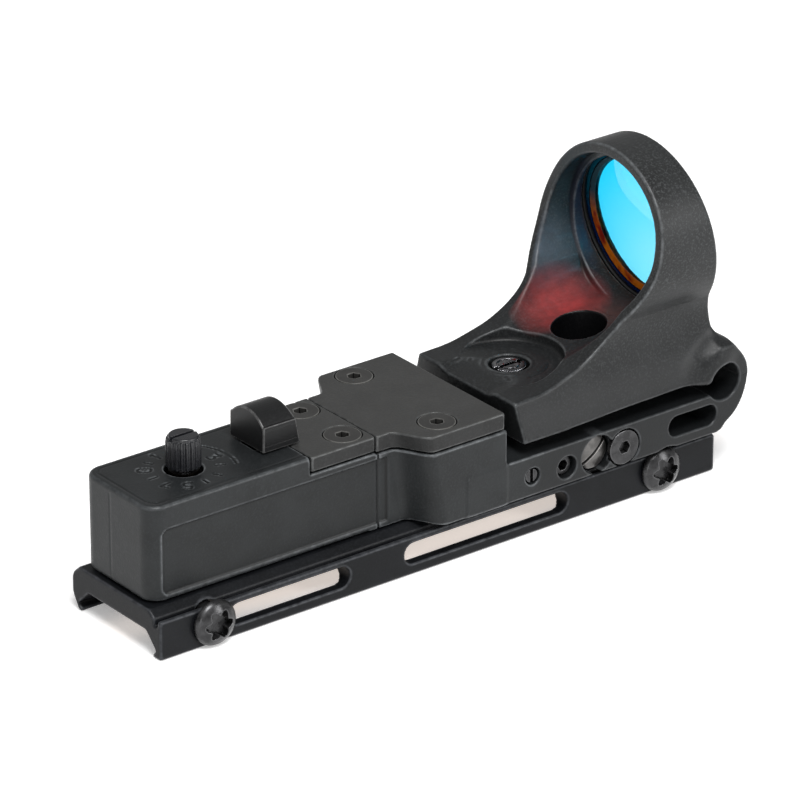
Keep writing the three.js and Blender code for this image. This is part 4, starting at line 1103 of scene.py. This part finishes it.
# ---------- knob and screws
def build_knob():
    lo, hi = node_box("brightness_knob")
    grid = Grid(lo - 0.2, hi + 0.2, 0.07)
    x, y, z = grid.axes()
    px, py = x - KNOB[0], y - KNOB[1]
    away, turn = np.hypot(px, py), np.arctan2(py, px)
    flutes = 20
    edge = np.abs(np.mod(turn * flutes / (2 * math.pi) + 0.25, 1.0) - 0.5) * 2
    fluted = away - 2.62 - 0.28 * np.clip((edge - 0.35) * 3.2, 0, 1)
    taper = np.clip((z - 29.6) / 1.6, 0, 1) * 0.25
    d = both((fluted + taper) * 0.75, slab(z, lo[2] + 0.1, 30.55), 0.12)
    cap = rod(away, 2.45, z, lo[2] + 0.1, 31.05, 0.3)
    d = either(d, cap, 0.05)
    d = less(d, both(slab(py, -0.33, 0.33), slab(z, 30.35, 33)) + 0 * px, 0.05)
    d = less(d, rod(away, 1.8, z, 20, 28.6), 0.05)
    solid("brightness_knob_cap", grid, d, "knob", "black_plastic", KNOB_BLACK, ["brightness_knob"])


def star(u, v, outer, inner):
    """A six-lobed driver recess."""
    away, turn = np.hypot(u, v), np.arctan2(v, u)
    lobe = 0.5 + 0.5 * np.cos(6 * turn)
    return (away - inner - (outer - inner) * lobe ** 0.8) * 0.75


def hexagon(u, v, across):
    """A hexagon of that width across its flats."""
    away, turn = np.hypot(u, v), np.arctan2(v, u)
    sector = np.mod(turn, math.pi / 3) - math.pi / 6
    return away * np.cos(sector) - across / 2


def side_screw(name, node, body, make, step=0.08, look=SCREW):
    """A screw whose head faces the near side, from its field of x and z from its axis, and depth."""
    lo, hi = node_box(node)
    grid = Grid(lo - (0.3, 1.2, 0.3), hi + 0.3, step)
    cx, cz = middle(node)[0], middle(node)[2]
    d = make(grid.x - cx, grid.z - cz, grid.y - lo[1])
    solid(name, grid, np.ascontiguousarray(d, np.float32), body, "screw_black", look, [node])


def clamp_head(u, v, w):
    away = np.hypot(u, v)
    dome = np.hypot(away, w - 5.6) - 5.6
    head = both(rod(away, 4.1, w, 0, 2.35, 0.5), dome, 0.6)
    shank = rod(away, 2.5, w, 2.3, 23.9, 0.4)
    body = either(head, shank)
    return less(body, both(star(u, v, 2.6, 1.75), slab(w, -5, 1.85), 0.1), 0.12)


def wind_head(u, v, w):
    away = np.hypot(u, v)
    dome = np.hypot(away, w - 7.6) - 8.0
    body = either(both(rod(away, 3.1, w, -1.0, 1.5, 0.2), dome, 0.25),
                  rod(away, 1.75, w, 1.4, 10.8, 0.3))
    a = math.radians(38)
    across = u * math.sin(a) - v * math.cos(a)
    return less(body, both(slab(across, -0.27, 0.27), slab(w, -5, 0.65)), 0.06)


def lock_head(u, v, w):
    away = np.hypot(u, v)
    body = either(rod(away, 3.05, w, 0, 0.95, 0.14), rod(away, 1.5, w, 0.9, 5.9, 0.3))
    socket = both(hexagon(u, v, 2.05), slab(w, -5, 0.9))
    return less(body, socket, 0.06)


def grub(u, v, w):
    away = np.hypot(u, v)
    body = rod(away, 1.7, w, 0, 9.9, 0.2)
    return less(body, both(hexagon(u, v, 1.75), slab(w, -5, 1.7)), 0.05)


def guide(u, v, w):
    away = np.hypot(u, v)
    body = rod(away, 1.25, w, 0, 4.0, 0.15)
    return less(body, both(slab(u, -0.3, 0.3) + 0 * v, slab(w, -5, 0.65)), 0.05)


def build_side_screws():
    for end in ("rear", "front"):
        side_screw(f"clamp_screw_{end}_head", f"clamp_screw_{end}", f"clamp_{end}", clamp_head, 0.1)
    side_screw("windage_screw_slotted", "windage_screw", "windage", wind_head, look=WORN_SCREW)
    side_screw("windage_lock_screw_socket", "windage_lock_screw", "windage_lock", lock_head)
    side_screw("elevation_lock_grub", "elevation_lock_screw", "elevation_lock", grub, 0.07)
    side_screw("guide_set_screw_slotted", "guide_set_screw", "body", guide, 0.06)


def build_cover_screws():
    for name in COVER_SCREWS:
        bottom = node_box(name)[0][2]
        at = middle(name)[:2]
        grid = Grid((*(at - 3.4), bottom), (*(at + 3.4), TOP_Z), 0.09)
        u, v, z = grid.x - at[0], grid.y - at[1], grid.z
        away = np.hypot(u, v)
        cone = (away - 3.15 + np.maximum(TOP_Z - 0.6 - z, 0)) * 0.75
        d = both(both(away - 3.15, cone), slab(z, TOP_Z - 2.2, TOP_Z - 0.04), 0.1)
        d = either(d, rod(away, 1.5, z, bottom, TOP_Z - 1.5, 0.2))
        d = less(d, both(hexagon(u, v, 2.05), slab(z, TOP_Z - 1.3, 40)), 0.06)
        solid(name + "_flat", grid, d.astype(np.float32), "body", "screw_black", COVER_SCREW, [name])


def build_elevation_screw():
    lo, hi = node_box("elevation_screw")
    grid = Grid(lo - 0.3, hi + 0.3, 0.08)
    u, v, z = grid.x - ELEV[0], grid.y - ELEV[1], grid.z
    away, turn = np.hypot(u, v), np.arctan2(v, u)
    teeth = 0.16 * np.cos(turn * 22)
    d = both((away - 2.98 + np.abs(teeth)) * 0.8, slab(z, 22.55, hi[2]), 0.3)
    d = either(d, rod(away, 2.0, z, lo[2], 23, 0.35))
    d = less(d, both(slab(v, -0.4, 0.4) + 0 * u, slab(z, hi[2] - 0.85, 40)), 0.08)
    d = less(d, both(np.abs(away - 1.9) - 0.16, slab(z, hi[2] - 0.22, 40)), 0.05)
    solid("elevation_screw_slotted", grid, d.astype(np.float32), "elevation", "screw_black",
          BRIGHT_SCREW, ["elevation_screw"])


# ---------- CAD nodes that stay
def dress_cad_nodes():
    """Gives the CAD nodes that stay the look of their slot."""
    slots = {row["node"]: row["material_slot"] for row in frame["record"]["subparts"]}
    for name, node in frame["nodes"].items():
        if not node.hide_render and slots[name] in CAD_LOOKS:
            look = DARK_BRASS if name == "rheostat_bushing" else CAD_LOOKS[slots[name]]
            node.data.materials.clear()
            node.data.materials.append(look.material)


# ---------- camera, floor and light
def build_camera():
    data = bpy.data.cameras.new("camera")
    camera = place("camera", data)
    data.sensor_width = 36.0
    data.lens = CAMERA_LENS
    data.clip_start, data.clip_end = 0.05, 20.0
    azimuth, elevation, roll = [math.radians(degrees) for degrees in CAMERA_DEGREES]
    look = Vector((-math.sin(azimuth) * math.cos(elevation), math.cos(azimuth) * math.cos(elevation),
                   -math.sin(elevation)))
    right = look.cross(Vector((0, 0, 1))).normalized()
    up = right.cross(look)
    turned = Matrix.Rotation(roll, 3, look)
    basis = Matrix((turned @ right, turned @ up, -look)).transposed()
    camera.matrix_world = Matrix.Translation(CAMERA_AT) @ basis.to_4x4()
    bpy.context.scene.camera = camera


def build_stage():
    b = bmesh.new()
    bmesh.ops.create_grid(b, x_segments=8, y_segments=8, size=6.0)
    mesh = bpy.data.meshes.new("floor")
    b.to_mesh(mesh)
    b.free()
    floor = place("floor", mesh)
    floor.location.z = CAD_BOX[0].z - 0.00005
    k = Look("floor_white")
    pale = k.mix(k.noise(300.0, 2.0), (0.86, 0.86, 0.86), (0.88, 0.88, 0.88))
    # Painted light: under the object the floor is warmer and glows brighter, a painted bounce that lifts the
    # object's shadow.
    under = k.span(k.reach((60.0, 0.0, 0.0), (75.0, 12.0, 50.0)), 0.55, 1.0, 1.0, 0.0)
    k.set("Base Color", k.mix(under, pale, (0.88, 0.78, 0.72)))
    k.set("Roughness", 0.9)
    k.set("Specular IOR Level", 0.1)
    k.set("Emission Color", k.mix(under, (1.0, 0.99, 0.985), (1.0, 0.90, 0.83)))
    k.set("Emission Strength", k.span(under, 0.0, 1.0, 0.32, 0.60))
    mesh.materials.append(k.material)


def area_light(name, at, size, power):
    """A soft light that faces the object."""
    data = bpy.data.lights.new(name, "AREA")
    data.shape = "RECTANGLE"
    data.size, data.size_y = size
    data.energy = power
    light = place(name, data)
    light.location = at
    light.rotation_mode = "QUATERNION"
    light.rotation_quaternion = (LIGHT_TARGET - Vector(at)).to_track_quat("-Z", "Y")


def build_light():
    world = bpy.data.worlds.new("studio")
    world.use_nodes = True
    sky = world.node_tree.nodes["Background"]
    sky.inputs["Color"].default_value = (1.0, 1.0, 1.0, 1)
    sky.inputs["Strength"].default_value = 0.4
    bpy.context.scene.world = world
    area_light("key", (-0.2, -0.45, 0.85), (0.4, 0.4), 9.5)
    area_light("side", (0.5, -0.85, 0.42), (0.3, 0.5), 4.5)
    area_light("corner", (-0.72, -0.62, 0.14), (0.2, 0.3), 1.0)
    scene = bpy.context.scene
    scene.view_settings.view_transform = "Standard"
    scene.view_settings.look = "None"
    scene.view_settings.exposure = 0.0
    scene.view_settings.gamma = 1.0


build_camera()
build_stage()
build_light()
build_base()
build_housing()
build_battery_cover()
build_front_cover()
build_latch()
build_head()
build_lens()
build_knob()
build_side_screws()
build_cover_screws()
build_elevation_screw()
dress_cad_nodes()
